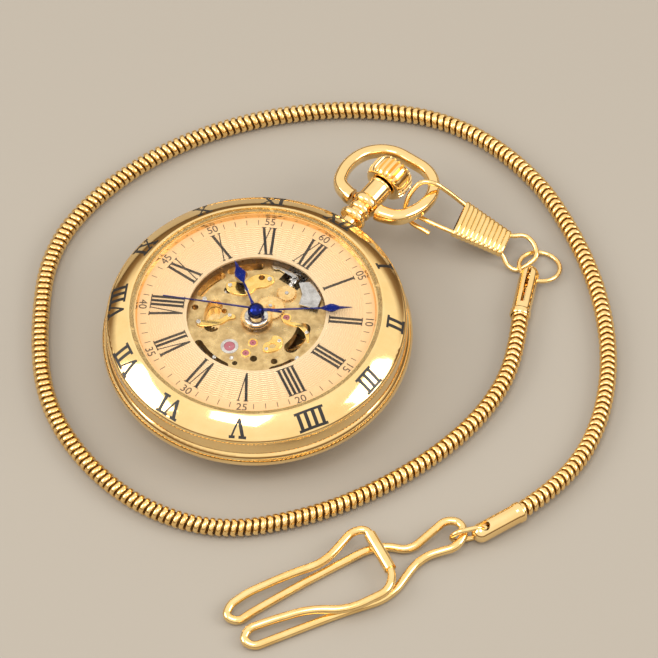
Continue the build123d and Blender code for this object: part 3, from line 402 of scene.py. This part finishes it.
def hour_numerals(name, inner, outer, strokes, surface, rise, sink, rows, material):
    """Twelve numerals round the dial's centre, laid on a surface, as one piece."""
    verts, faces = [], []
    for hour, text in enumerate(HOURS):
        outward, clockwise = clock_directions(30 * hour)
        outlines, offset = [], 0.0
        for letter in text:
            outline, wide = letter_outline(letter, *strokes, outer - inner)
            outlines.append([(x + offset, y) for x, y in outline])
            offset += wide
        for outline in outlines:
            cut = bmesh.new()
            cut.faces.new([cut.verts.new((x - offset / 2, y, 0)) for x, y in outline])
            cut.normal_update()
            for row in range(1, rows):
                level = (outer - inner) * row / rows
                bmesh.ops.bisect_plane(cut, geom=cut.verts[:] + cut.edges[:] + cut.faces[:],
                                       plane_co=(0, level, 0), plane_no=(0, 1, 0))
            bmesh.ops.triangulate(cut, faces=cut.faces[:])
            raised = bmesh.ops.extrude_face_region(cut, geom=cut.faces[:])["geom"]
            for vert in raised:
                if isinstance(vert, bmesh.types.BMVert):
                    vert.co.z = 1
            bmesh.ops.recalc_face_normals(cut, faces=cut.faces[:])
            start = len(verts)
            cut.verts.index_update()
            for vert in cut.verts:
                flat = clockwise * vert.co.x + outward * (inner + vert.co.y)
                verts.append((flat.x, flat.y, surface(flat.x, flat.y) + (rise if vert.co.z > 0.5 else -sink)))
            faces += [tuple(start + vert.index for vert in face.verts) for face in cut.faces]
            cut.free()
    return mesh_piece(name, verts, faces, "case", material, smooth=False)


enamel = metal("black_enamel", (0.006, 0.005, 0.005), (0.014, 0.011, 0.010),
               roughness=(0.3, 0.42), cloud_size=1.0, scratches=0.2, bump=0.03, grain_bump=0.1, weight=0.0)
hour_numerals("bezel_numerals", BEZEL_INNER_R, BEZEL_OUTER_R, BEZEL_STROKES, on_bezel, 0.02, 0.06, 5, enamel)

# ---- Dial --------------------------------------------------------------------------------------
# A thin brass ring in champagne lacquer, engine-turned with wavy rings under the numerals and plain
# under the minute track. Its printing is a few hundredths of a millimetre thick.
DIAL_Z = 11.3
TURNED_FROM, TURNED_TO, TURNED_FADE = 10.75, 16.35, 0.1  # the radii of the engine-turned part
WAVES_ROUND, WAVE_DEPTH = 72.0, 1.1  # waves in a full turn, and how far each swings, in radians of a ring
RING_TURN = 17.0  # how fast the rings go by, in radians for each millimetre outward
dial_lacquer = bpy.data.materials.new("dial_lacquer")
dial_lacquer.use_nodes = True
tree = dial_lacquer.node_tree
shader = tree.nodes["Principled BSDF"]
shader.inputs["Metallic"].default_value = 0.3
shader.inputs["Specular IOR Level"].default_value = 0.3
where = add(tree, "TexCoord").outputs["Object"]
in_mm = add(tree, "VectorMath", {"operation": "SCALE"}, i0=where, Scale=1000.0).outputs[0]
east, north = add(tree, "SeparateXYZ", Vector=in_mm).outputs[:2]
radius = math_node(tree, "SQRT", math_node(tree, "ADD", math_node(tree, "MULTIPLY", east, east),
                                           math_node(tree, "MULTIPLY", north, north)))
bearing = math_node(tree, "ARCTAN2", north, east)
wave = math_node(tree, "SINE", math_node(tree, "MULTIPLY", bearing, WAVES_ROUND))
wave = math_node(tree, "MULTIPLY", wave, WAVE_DEPTH)
rings = math_node(tree, "ADD", math_node(tree, "MULTIPLY", radius, RING_TURN), wave)
rings = math_node(tree, "SINE", rings)
inside = add(tree, "MapRange", i0=radius, i1=TURNED_TO - TURNED_FADE, i2=TURNED_TO, i3=1.0, i4=0.0).outputs[0]
outside = add(tree, "MapRange", i0=radius, i1=TURNED_FROM, i2=TURNED_FROM + TURNED_FADE).outputs[0]
turned = math_node(tree, "MULTIPLY", rings, math_node(tree, "MULTIPLY", inside, outside))
relief = add(tree, "Bump", Strength=0.55, Distance=0.00006, Height=turned).outputs[0]
tree.links.new(relief, shader.inputs["Normal"])
# Towards the rim the lacquer turns a warmer orange: a painted reflection of the gold case ring glowing on the
# dial.
rim_glow_share = add(tree, "MapRange", i0=radius, i1=10.5, i2=19.0).outputs[0]
base = add(tree, "Mix", {"data_type": "RGBA"}, i0=rim_glow_share, i6=(0.74, 0.56, 0.35, 1),
           i7=(0.78, 0.495, 0.25, 1)).outputs[2]
# The colour is also darkened by up to 16 % towards brown along each turned ring: painted shade that makes the
# engine-turning show.
shade = add(tree, "MapRange", i0=turned, i1=-1.0, i2=1.0, i3=0.0, i4=0.16).outputs[0]
ring_shaded_colour = add(tree, "Mix", {"data_type": "RGBA", "blend_type": "MULTIPLY"}, i0=shade, i6=base,
               i7=(0.62, 0.46, 0.26, 1)).outputs[2]
tree.links.new(ring_shaded_colour, shader.inputs["Base Color"])
gloss = add(tree, "MapRange", i0=turned, i1=-1.0, i2=1.0, i3=0.26, i4=0.42).outputs[0]
tree.links.new(gloss, shader.inputs["Roughness"])
dress(dial_lacquer, "dial")
flange_gilt = metal("flange_gilt", (0.97, 0.68, 0.34), (0.92, 0.57, 0.24),
                    roughness=(0.10, 0.2), cloud_size=4.0, scratches=0.1)
dress(flange_gilt, "dial_flange")


def dial_face(x, y):
    """The height of the flat dial, which is the same under every point."""
    return DIAL_Z


dial_ink = metal("dial_ink", (0.008, 0.007, 0.006), (0.018, 0.014, 0.010),
                 roughness=(0.3, 0.45), cloud_size=0.8, scratches=0.0, bump=0.0, grain_bump=0.1, weight=0.0)
DIAL_STROKES = (0.42, 0.15, 0.15, 0.13)
hour_numerals("dial_numerals", 11.0, 16.1, DIAL_STROKES, dial_face, 0.03, 0.01, 1, dial_ink)

# ---- Minute track ------------------------------------------------------------------------------
# Printed on the dial's rim in a thinner brown ink: a fine line at each minute, and small figures at
# every fifth one. The figures in the lower half stand with their feet outward, so all read upright.
TRACK_INNER_R, TRACK_OUTER_R, FIGURE_R = 16.55, 17.45, 17.15
LINE_HALF_WIDTH, FIGURE_HEIGHT = 0.045, 1.75
FEET_OUTWARD = (20, 25, 30, 35, 40)
verts, faces = [], []
for minute in range(60):
    if minute % 5 == 0:
        continue
    outward, clockwise = clock_directions(6 * minute)
    start = len(verts)
    for height in (DIAL_Z - 0.01, DIAL_Z + 0.03):
        for radial in (TRACK_INNER_R, TRACK_OUTER_R):
            for sideways in (-LINE_HALF_WIDTH, LINE_HALF_WIDTH):
                verts.append(outward * radial + clockwise * sideways + Vector((0, 0, height)))
    faces += [tuple(start + corner for corner in quad) for quad in
              ((0, 2, 3, 1), (4, 5, 7, 6), (0, 1, 5, 4), (2, 6, 7, 3), (0, 4, 6, 2), (1, 3, 7, 5))]
track_ink = metal("track_ink", (0.045, 0.032, 0.02), (0.07, 0.05, 0.03),
                  roughness=(0.35, 0.5), cloud_size=0.8, scratches=0.0, bump=0.0, grain_bump=0.1, weight=0.0)
mesh_piece("minute_track", verts, faces, "case", track_ink, smooth=False)
for minute in range(5, 65, 5):
    figure = bpy.data.curves.new("minute_figure", "FONT")
    figure.body = f"{minute:02d}"
    figure.size = FIGURE_HEIGHT * MM
    figure.align_x, figure.align_y = "CENTER", "CENTER"
    figure.extrude = 0.02 * MM
    holder = bpy.data.objects.new("minute_figure", figure)
    mesh = bpy.data.meshes.new_from_object(holder)
    half_turn = math.pi if minute in FEET_OUTWARD else 0.0
    spin = Matrix.Rotation(half_turn - math.radians(6 * minute), 4, "Z")
    middle = sum((Vector(corner) for corner in holder.bound_box), Vector()) / 8
    spot = clock_directions(6 * minute)[0] * FIGURE_R + Vector((0, 0, DIAL_Z + 0.01))
    mesh.transform(Matrix.Translation(spot * MM) @ spin @ Matrix.Translation((-middle.x, -middle.y, 0)))
    bpy.data.objects.remove(holder)
    printed = bpy.data.objects.new(f"minute_figure_{minute:02d}", mesh)
    bpy.context.scene.collection.objects.link(printed)
    mesh.materials.append(track_ink)
    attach(printed, "case")

# ---- Crystal -----------------------------------------------------------------------------------
# A thin domed mineral glass is pressed into the ring over a gilt gasket, and a flat one is let into
# the back cover. Both are clear and polished.
glass = plain_material("crystal_glass", (1.0, 1.0, 1.0), 0.02)
glass_shader = glass.node_tree.nodes["Principled BSDF"]
glass_shader.inputs["Transmission Weight"].default_value = 1.0
glass_shader.inputs["Alpha"].default_value = 0.03
glass_shader.inputs["IOR"].default_value = 1.3
dress(glass, "crystal", "back_glass")
dress(metal("gasket_gilt", (0.88, 0.62, 0.28), (0.7, 0.44, 0.17),
            roughness=(0.2, 0.3), cloud_size=2.0, scratches=0.1), "crystal_gasket")

# ---- Hands -------------------------------------------------------------------------------------
# Spade hands and a plain centre-seconds hand, cut from thin steel and blued by heat. The domed hub
# covers all three.
blued = metal("blued_steel", (0.016, 0.034, 0.27), (0.01, 0.012, 0.10),
              roughness=(0.12, 0.22), cloud_size=1.5, scratches=0.2)
dress(blued, "hour_hand", "minute_hand", "seconds_hand")

# ---- Pendant -----------------------------------------------------------------------------------
# A gilt tube screwed into the case at twelve, turned with three beads. The bow pivots in its
# thickest bead and the stem runs through it.
def lathe(profile, place, axis, steps=64):
    """Points and faces turned round an axis from (radius, distance) pairs."""
    square = Vector(axis).to_track_quat("Z", "Y").to_matrix()
    verts = []
    for radius_here, distance in profile:
        for step in range(steps):
            angle = 2 * math.pi * step / steps
            spoke = Vector((radius_here * math.cos(angle), radius_here * math.sin(angle), distance))
            verts.append(Vector(place) + square @ spoke)
    faces = ring_quads(len(profile), steps) + [lid(0, steps), lid(len(verts) - steps, steps)]
    return verts, faces


def bead(start, end, foot, bulge, steps=12):
    """A half-round moulding between two distances, as (radius, distance) pairs."""
    middle, reach = (start + end) / 2, (end - start) / 2
    shares = [step * 2 / steps - 1 for step in range(steps + 1)]
    return [(foot + bulge * math.sqrt(max(0.0, 1 - share * share)), middle + reach * share)
            for share in shares]


STEM_Z, PENDANT_START = 8.8, 20.6
pendant_profile = ([(1.27, 0.05), (1.27, 2.9)] + bead(3.0, 4.3, 1.5, 0.7) + [(1.5, 4.4), (1.5, 4.7)]
                   + bead(4.8, 6.0, 1.5, 0.44) + [(1.6, 6.1)] + bead(6.15, 7.6, 1.8, 0.5)
                   + [(1.93, 7.65), (1.93, 10.5)] + bead(10.55, 10.98, 1.93, 0.18) + [(0.85, 10.99)])
pendant_piece = mesh_piece("pendant_turned", *lathe(pendant_profile, (0, PENDANT_START, STEM_Z), (0, 1, 0)),
                           "case", case_gilt)
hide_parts("pendant")

# ---- Bow ---------------------------------------------------------------------------------------
# A forged gilt loop with softened flats, stouter where its two ends pinch the pendant. It hangs
# back a little from the stem's line.
PIVOT = Vector((0, 27.4, STEM_Z))
BOW_DROOP = math.radians(-9.4)
BOW_SIDE = [(2.47, 0.0), (3.0, 0.0), (5.7, 0.9), (7.15, 4.6), (6.8, 9.1), (3.7, 12.3)]
bow_turn = Matrix.Rotation(BOW_DROOP, 4, "X")
bow_points = [PIVOT + bow_turn @ Vector((u, v, 0)) for u, v in BOW_SIDE]
bow_points += [PIVOT + bow_turn @ Vector((-u, v, 0)) for u, v in reversed(BOW_SIDE)]


def rounded_line(points, share=0.49):
    """Close points along straight runs joined by tangent arcs."""
    points = [Vector(point) for point in points]
    line = [points[0]]
    for before, corner, after in zip(points, points[1:], points[2:]):
        into, out = (corner - before).normalized(), (after - corner).normalized()
        turning = into.angle(out)
        reach = share * min((corner - before).length, (after - corner).length)
        if turning < 0.01:
            line.append(corner)
            continue
        bend, inward = reach / math.tan(turning / 2), (out - into * math.cos(turning)).normalized()
        for step in range(13):
            angle = turning * step / 12
            onward = into * math.sin(angle) + inward * (1 - math.cos(angle))
            line.append(corner - into * reach + onward * bend)
    return np.array(line + [points[-1]])


def swept_bar(line, section, width_at, flat_up):
    """Points and faces of a bar whose section follows a line; width_at scales it from 0 to 1 along."""
    count = len(line)
    along = np.gradient(line, axis=0)
    along /= np.linalg.norm(along, axis=1)[:, None]
    side, up = side_and_up(along, flat_up)
    verts, size = [], len(section)
    for index in range(count):
        scale = width_at(index / (count - 1))
        for a, b in section:
            verts.append(line[index] + side[index] * a * scale + up[index] * b * scale)
    ends = [lid(0, size), tuple(reversed(lid(len(verts) - size, size)))]
    return verts, ring_quads(count, size, flip=True) + ends


def soft_square(half_width, half_height, squareness, steps=32):
    """A section between an ellipse and a rectangle."""
    points = []
    for step in range(steps):
        angle = 2 * math.pi * step / steps
        c, s = math.cos(angle), math.sin(angle)
        points.append((half_width * math.copysign(abs(c) ** (2 / squareness), c),
                       half_height * math.copysign(abs(s) ** (2 / squareness), s)))
    return points


def bow_width(share):
    """Stout at both ends, slim at the top."""
    return 0.96 + 0.24 * abs(2 * share - 1) ** 4


bow_line = spaced(rounded_line(bow_points), 0.25)[0]
plane_normal = tuple(bow_turn @ Vector((0, 0, 1)))
bow_piece = mesh_piece("bow_loop", *swept_bar(bow_line, soft_square(1.0, 1.05, 2.7), bow_width, plane_normal),
                       "bow", case_gilt)
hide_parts("bow")

# ---- Crown -------------------------------------------------------------------------------------
# A hollow gilt button pressed on the stem, with rounded grooves that stop short of both rims so
# that fingers can grip it.
CROWN_START, GROOVES, GROOVE_DEPTH, CROWN_STEPS = 31.85, 24, 0.42, 192
crown_profile = [(0.66, 0.0), (2.5, 0.0), (2.8, 0.05), (3.0, 0.2), (3.13, 0.42), (3.28, 0.7), (3.36, 1.0),
                 (3.38, 1.5), (3.38, 2.0), (3.38, 2.5), (3.36, 2.9), (3.28, 3.25), (3.12, 3.52), (2.95, 3.68),
                 (2.7, 3.82), (2.2, 4.0), (1.5, 4.17), (0.8, 4.28), (0.02, 4.32)]
verts = []
for radius_here, depth in crown_profile:
    in_band = 1.0 if 0.35 < depth < 3.6 else 0.0
    for step in range(CROWN_STEPS):
        angle = 2 * math.pi * step / CROWN_STEPS
        groove = max(0.0, math.cos(GROOVES * angle)) ** 1.5
        reach = radius_here - in_band * GROOVE_DEPTH * groove
        verts.append((reach * math.cos(angle), CROWN_START + depth, STEM_Z + reach * math.sin(angle)))
faces = ring_quads(len(crown_profile), CROWN_STEPS) + [lid(len(verts) - CROWN_STEPS, CROWN_STEPS)]
crown_piece = mesh_piece("crown_button", verts, faces, "crown", case_gilt)
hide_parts("crown")

# ---- End caps ----------------------------------------------------------------------------------
# Each end of the chain is soldered into a turned cap with a rolled collar. A round eye goes through
# its domed tip and a narrow sawn slot runs down it.
CAP_R, CAP_WALL, EYE_R, EYE_FROM_TIP = 1.5, 0.5, 0.82, 2.0
CAP_AROUND, CAP_STEP = 96, 0.1
SEAT_ROW = 12  # the ring of points where the bore narrows and the chain's end sits


def eyed_cap(name, start, tip, eye_turn, slot_turn):
    """A tube with a domed tip, an eye right through it and a slot on one side."""
    start, tip = Vector((*start, CAP_Z)), Vector((*tip, CAP_Z))
    forward, length = (tip - start).normalized(), (tip - start).length
    across = forward.cross(Vector((0, 0, 1))).normalized()
    upward = across.cross(forward)
    stations = [-1.1 + CAP_STEP * step for step in range(int((length + 1.1) / CAP_STEP) + 1)]

    def outside(s):
        """The outer radius: a rolled collar, a plain tube and a domed tip."""
        if s < 0.1:
            return CAP_R + 0.12 * min(1.0, max(0.0, min(s + 1.15, 0.05 - s)) * 4)
        dome = max(0.0, s - (length - 1.45)) / 1.5
        return CAP_R * math.sqrt(max(0.02, 1 - dome * dome))

    def inside(s):
        """The bore, which is wider where the chain goes in."""
        return CHAIN_R + 0.02 if s < 0 else max(0.05, min(CAP_R - CAP_WALL, outside(s) - 0.3))

    def is_open(s, angle):
        """Whether the eye or the slot goes through the wall here."""
        if not 0.2 < s < length - 0.35:
            return False
        aside, over = math.degrees(angle) - eye_turn, math.degrees(angle) - slot_turn
        off_eye = CAP_R * math.sin(math.radians(aside))
        in_eye = math.hypot(s - (length - EYE_FROM_TIP), off_eye) < EYE_R
        in_slot = CAP_R * abs(math.sin(math.radians(over))) < 0.34 and math.cos(math.radians(over)) > 0
        return in_eye or (in_slot and 0.9 < s < length - 1.1)

    verts = []
    for reach in (outside, inside):
        for s in stations:
            for step in range(CAP_AROUND):
                angle = 2 * math.pi * step / CAP_AROUND
                spoke = across * math.cos(angle) + upward * math.sin(angle)
                verts.append(start + forward * s + spoke * reach(s))
    rows, layer = len(stations) - 1, len(stations) * CAP_AROUND
    opened = [[is_open(stations[row] + CAP_STEP / 2, 2 * math.pi * (step + 0.5) / CAP_AROUND)
               for step in range(CAP_AROUND)] for row in range(rows)]
    faces = []
    for row in range(rows):
        for step in range(CAP_AROUND):
            after = (step + 1) % CAP_AROUND
            a, b = row * CAP_AROUND + step, row * CAP_AROUND + after
            c, d = b + CAP_AROUND, a + CAP_AROUND
            if opened[row][step]:
                for near_row, near_step, p, q in ((row, step - 1, a, d), (row, after, b, c),
                                                  (row - 1, step, a, b), (row + 1, step, d, c)):
                    if not opened[near_row][near_step]:
                        faces.append((p, q, q + layer, p + layer))
            else:
                faces += [(a, b, c, d), (a + layer, d + layer, c + layer, b + layer)]
    for step in range(CAP_AROUND):
        after = (step + 1) % CAP_AROUND
        faces.append((step, after, after + layer, step + layer))
    faces += [lid(rows * CAP_AROUND, CAP_AROUND), lid(layer + SEAT_ROW * CAP_AROUND, CAP_AROUND)]
    return mesh_piece(name, verts, faces, "case", case_gilt)


for name, start, tip, eye_turn, slot_turn in (("end_cap_upper", route[0], (24.6, 36.8), 0, 90),
                                              ("end_cap_lower", route[last], (46.2, -8.3), 90, 0)):
    cap = eyed_cap(name + "_turned", start, tip, eye_turn, slot_turn)
    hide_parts(name)

# ---- Jump ring and oval link -------------------------------------------------------------------
# Drawn gilt wire, bent round a former and butted shut. The ring joins the clasp to the upper cap
# and the link joins the belt clip to the lower one.
clip_gilt = metal("clip_gilt", (1.0, 0.75, 0.35), (0.93, 0.62, 0.23),
                  roughness=(0.08, 0.18), cloud_size=2.5, scratches=0.5, bump=0.05)
dress(clip_gilt, "jump_ring", "oval_link")

# ---- Clasp wire --------------------------------------------------------------------------------
# One length of hard spring wire makes the latch leg, the loop in the jump ring and the hook over
# the bow.
dress(clip_gilt, "clasp_wire")

# ---- Belt clip ---------------------------------------------------------------------------------
# A stout gilt wire bent into two long fingers that slide over a belt or pocket edge, waisted into
# an eye at the chain's end.
dress(clip_gilt, "clip_wire")

# ---- Belt clip ferrule -------------------------------------------------------------------------
# A short tube of gilt brass, rolled round the clip's wire. It hides the butt joint where the wire's
# two ends meet, and it can spin.
dress(clip_gilt, "clip_ferrule")

# ---- Clasp sleeve ------------------------------------------------------------------------------
# A flattened tube of thin ribbed sheet, crimped round the spring wire and narrower at the ring end.
sleeve_start, sleeve_end = Vector((11.65, 35.85, 5.2)), Vector((19.05, 37.9, 2.0))
RIBS, RIB_STEPS, RIB_HEIGHT, SLEEVE_WALL = 11, 8, 0.16, 0.3
sleeve_axis = sleeve_end - sleeve_start
sleeve_side = Vector((-sleeve_axis.y, sleeve_axis.x, 0)).normalized()
sleeve_up = sleeve_axis.cross(sleeve_side).normalized()
verts = []
outline = soft_square(1, 1, 3.4, 48)
stations = [index / (RIBS * RIB_STEPS) for index in range(RIBS * RIB_STEPS + 1)]
walk = [(share, 0.0) for share in stations] + [(share, SLEEVE_WALL) for share in (1.0, 0.75, 0.5, 0.25, 0.0)]
for share, wall in walk:
    ridge = 0.0 if wall else RIB_HEIGHT * abs(math.sin(math.pi * RIBS * share)) ** 0.7
    half_width = 3.3 - 1.05 * share - wall + ridge * 0.6
    half_height = 0.8 - wall * 0.9 + ridge
    centre = sleeve_start + sleeve_axis * share
    for a, b in outline:
        verts.append(centre + sleeve_side * a * half_width + sleeve_up * b * half_height)
faces = ring_quads(len(walk), len(outline), closed=True, flip=True)
sleeve_piece = mesh_piece("clasp_ribbed_sleeve", verts, faces, "clasp", clip_gilt)
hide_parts("clasp_sleeve")

# ---- Plate and bridges -------------------------------------------------------------------------
# The plate and bridges are gilt brass with a fine grained top. Slots and round holes lighten the
# plate on its dial side.
plate_gilt = metal("plate_gilt", (0.84, 0.62, 0.30), (0.42, 0.26, 0.10),
                   roughness=(0.24, 0.38), cloud_size=1.6, scratches=0.5, bump=0.05, grain_bump=0.5)
dress(plate_gilt, "main_plate", "barrel_bridge", "train_bridge", "pallet_bridge", "balance_cock")
dress(case_gilt, "movement_ring")


def flat_piece(name, outlines, low, high, edge, body, material, rounded=True):
    """A flat piece with softened edges between two heights; outlines inside the first are holes."""
    curve = bpy.data.curves.new(name, "CURVE")
    curve.dimensions = "2D"
    curve.fill_mode = "BOTH"
    curve.extrude = ((high - low) / 2 - edge) * MM
    curve.bevel_depth = edge * MM
    curve.offset = -edge * MM
    for outline in outlines:
        spline = curve.splines.new("NURBS" if rounded else "POLY")
        spline.points.add(len(outline) - 1)
        for point, (x, y) in zip(spline.points, outline):
            point.co = (x * MM, y * MM, 0, 1)
        spline.use_cyclic_u = True
        if rounded:
            spline.order_u = 3
            spline.resolution_u = 5
    holder = bpy.data.objects.new(name, curve)
    mesh = bpy.data.meshes.new_from_object(holder)
    bpy.data.objects.remove(holder)
    mesh.transform(Matrix.Translation((0, 0, (low + high) / 2 * MM)))
    made = bpy.data.objects.new(name, mesh)
    bpy.context.scene.collection.objects.link(made)
    mesh.materials.append(material)
    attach(made, body)
    return made


def circle(x, y, radius, steps=20, start=0.0, end=360.0):
    """Points round a circle or along a part of it."""
    count = steps if end - start == 360 else steps + 1
    turns = [math.radians(start + (end - start) * step / steps) for step in range(count)]
    return [(x + radius * math.cos(turn), y + radius * math.sin(turn)) for turn in turns]


# ---- Dial-side bridges -------------------------------------------------------------------------
# Thin polished gilt bridges, a spring and a cover, stamped from sheet. They lie on the plate's dial
# side, round the motion work, and screws hold them down.
PLATE_TOP = 9.7
bridge_gilt = metal("bridge_gilt", (1.0, 0.72, 0.25), (0.86, 0.50, 0.11),
                    roughness=(0.08, 0.2), cloud_size=1.0, scratches=0.3, bump=0.03, grain_bump=0.2)
flat_piece("dial_side_bridge_left",
           [[(-7.9, 2.4), (-7.0, 3.7), (-5.6, 4.1), (-5.4, 6.4), (-3.4, 7.9), (-1.9, 7.6), (-2.2, 5.6),
             (-3.6, 4.6), (-3.4, 2.9), (-5.0, 1.9), (-6.6, 1.4)], circle(-4.0, 6.6, 0.45)],
           PLATE_TOP, 9.9, 0.09, "case", bridge_gilt)
flat_piece("dial_side_bridge_low",
           [[(-2.5, -1.7), (-3.4, -2.5), (-3.6, -3.7), (-5.1, -5.5), (-6.5, -6.3), (-7.5, -5.4), (-6.4, -4.9),
             (-5.1, -4.0), (-4.3, -3.1), (-4.0, -1.6), (-3.1, -1.2)]],
           PLATE_TOP, 9.95, 0.1, "case", bridge_gilt)
flat_piece("dial_side_spring",
           [[(3.1, 2.0), (4.6, 1.9), (5.9, 2.6), (7.4, 2.2), (8.7, 1.0), (9.0, 1.3), (7.8, 2.8), (6.0, 3.3),
             (4.4, 2.5), (3.2, 2.5)]],
           PLATE_TOP, 9.9, 0.05, "case", bridge_gilt)
flat_piece("dial_side_cover_right",
           [[(3.7, -0.9), (5.0, -0.4), (6.0, -1.0), (6.2, -2.6), (5.2, -3.9), (4.2, -4.2), (3.5, -2.9),
             (4.2, -2.0)], circle(4.9, -2.5, 0.5)],
           PLATE_TOP, 9.88, 0.05, "case", bridge_gilt)

# ---- Screws ------------------------------------------------------------------------------------
# Small slotted steel screws with flat heads hold the bridges down. They are blued at the back and
# polished on the dial side.
HEAD_FOOT, HEAD_HEIGHT = 0.1, 0.22
SLOT_ANGLE = math.degrees(math.asin(0.24))  # half the slot's width is 0.24 of the head's radius
dress(blued, "bridge_screws")
polished = metal("polished_steel", (0.80, 0.78, 0.75), (0.45, 0.43, 0.40),
                 roughness=(0.06, 0.14), cloud_size=0.8, scratches=0.3)


def slotted_screw(name, x, y, low, radius, turn, material):
    """A screw's head in three flat pieces: a round foot, and a half on each side of the slot."""
    foot_top, head_top = low + HEAD_FOOT, low + HEAD_HEIGHT
    flat_piece(name + "_foot", [circle(x, y, radius, 24)], low, foot_top, 0.02, "case", material,
               rounded=False)
    for index, side in enumerate((0, 180)):
        half = circle(x, y, radius, 12, turn + side + SLOT_ANGLE, turn + side + 180 - SLOT_ANGLE)
        flat_piece(f"{name}_head_{index}", [half], foot_top, head_top, 0.03, "case", material, rounded=False)


for index, (x, y, low, radius, turn) in enumerate((
        (-2.8, 7.0, 9.9, 0.36, 20), (-7.0, 2.6, 9.9, 0.33, 130), (-4.4, 3.4, 9.9, 0.33, 75),
        (-6.7, -5.6, 9.95, 0.36, 40), (-3.6, -1.9, 9.95, 0.3, 100), (-8.6, -1.6, 9.7, 0.38, 60),
        (1.3, -7.9, 9.7, 0.32, 15), (7.7, 2.3, 9.9, 0.3, 80), (5.3, -1.3, 9.88, 0.3, 35),
        (4.6, -3.6, 9.88, 0.28, 150), (9.3, -2.2, 9.7, 0.36, 5), (-0.9, -9.3, 9.7, 0.3, 60))):
    slotted_screw(f"dial_side_screw_{index}", x, y, low, radius, turn, polished)

# ---- Jewels ------------------------------------------------------------------------------------
# Synthetic ruby bearings pressed into the plate and bridges. The balance's jewel sits in a steel
# setting and the others in thin gilt rings.
ruby = plain_material("ruby", (0.36, 0.10, 0.13), 0.08)
dress(ruby, "plate_jewels", "bridge_jewels", "pallet_stones")
dress(polished, "balance_setting")
for index, (x, y) in enumerate(((3.45, 2.89), (2.16, -3.73), (2.42, -5.87))):
    flat_piece(f"jewel_ring_{index}", [circle(x, y, 0.78, 28), circle(x, y, 0.52, 28)],
               PLATE_TOP, PLATE_TOP + 0.08, 0.02, "case", bridge_gilt, rounded=False)

# ---- Wheels ------------------------------------------------------------------------------------
# Gilt brass wheels, cut from sheet and riveted on steel arbors. The hour wheel carries the hour
# hand, and a turned steel collar lies on it.
wheel_brass = metal("wheel_brass", (1.0, 0.72, 0.34), (0.78, 0.46, 0.16),
                    roughness=(0.14, 0.26), cloud_size=0.8, scratches=0.3)
dress(wheel_brass, "barrel_drum", "barrel_cover", "centre_wheel", "minute_wheel", "setting_wheel",
      "hour_wheel", "third_wheel", "fourth_wheel", "escape_wheel", "balance_wheel")
COLLAR_Z = 10.42
collar_profile = [(1.02, 0.0), (1.72, 0.0), (1.78, 0.05), (1.78, 0.14), (1.7, 0.2), (1.3, 0.22), (1.25, 0.3),
                  (1.02, 0.3)]
mesh_piece("hour_collar", *lathe(collar_profile, (0, 0, COLLAR_Z), (0, 0, 1)), "hours", polished)

# ---- Steelwork ---------------------------------------------------------------------------------
# The winding and setting parts are hardened carbon steel with a grained surface, and so are the
# click, the fork, the balance staff and the springs.
steel = metal("grained_steel", (0.66, 0.65, 0.64), (0.30, 0.29, 0.28),
              roughness=(0.12, 0.26), cloud_size=1.4, scratches=0.6)
dress(steel, "setting_bridge", "click", "pallet_fork", "balance_staff", "regulator", "crown_wheel",
      "ratchet_wheel", "stem", "winding_pinion", "clutch_wheel", "setting_lever", "yoke", "keyless_studs",
      "barrel_arbor", "mainspring", "cannon_pinion", "hairspring")
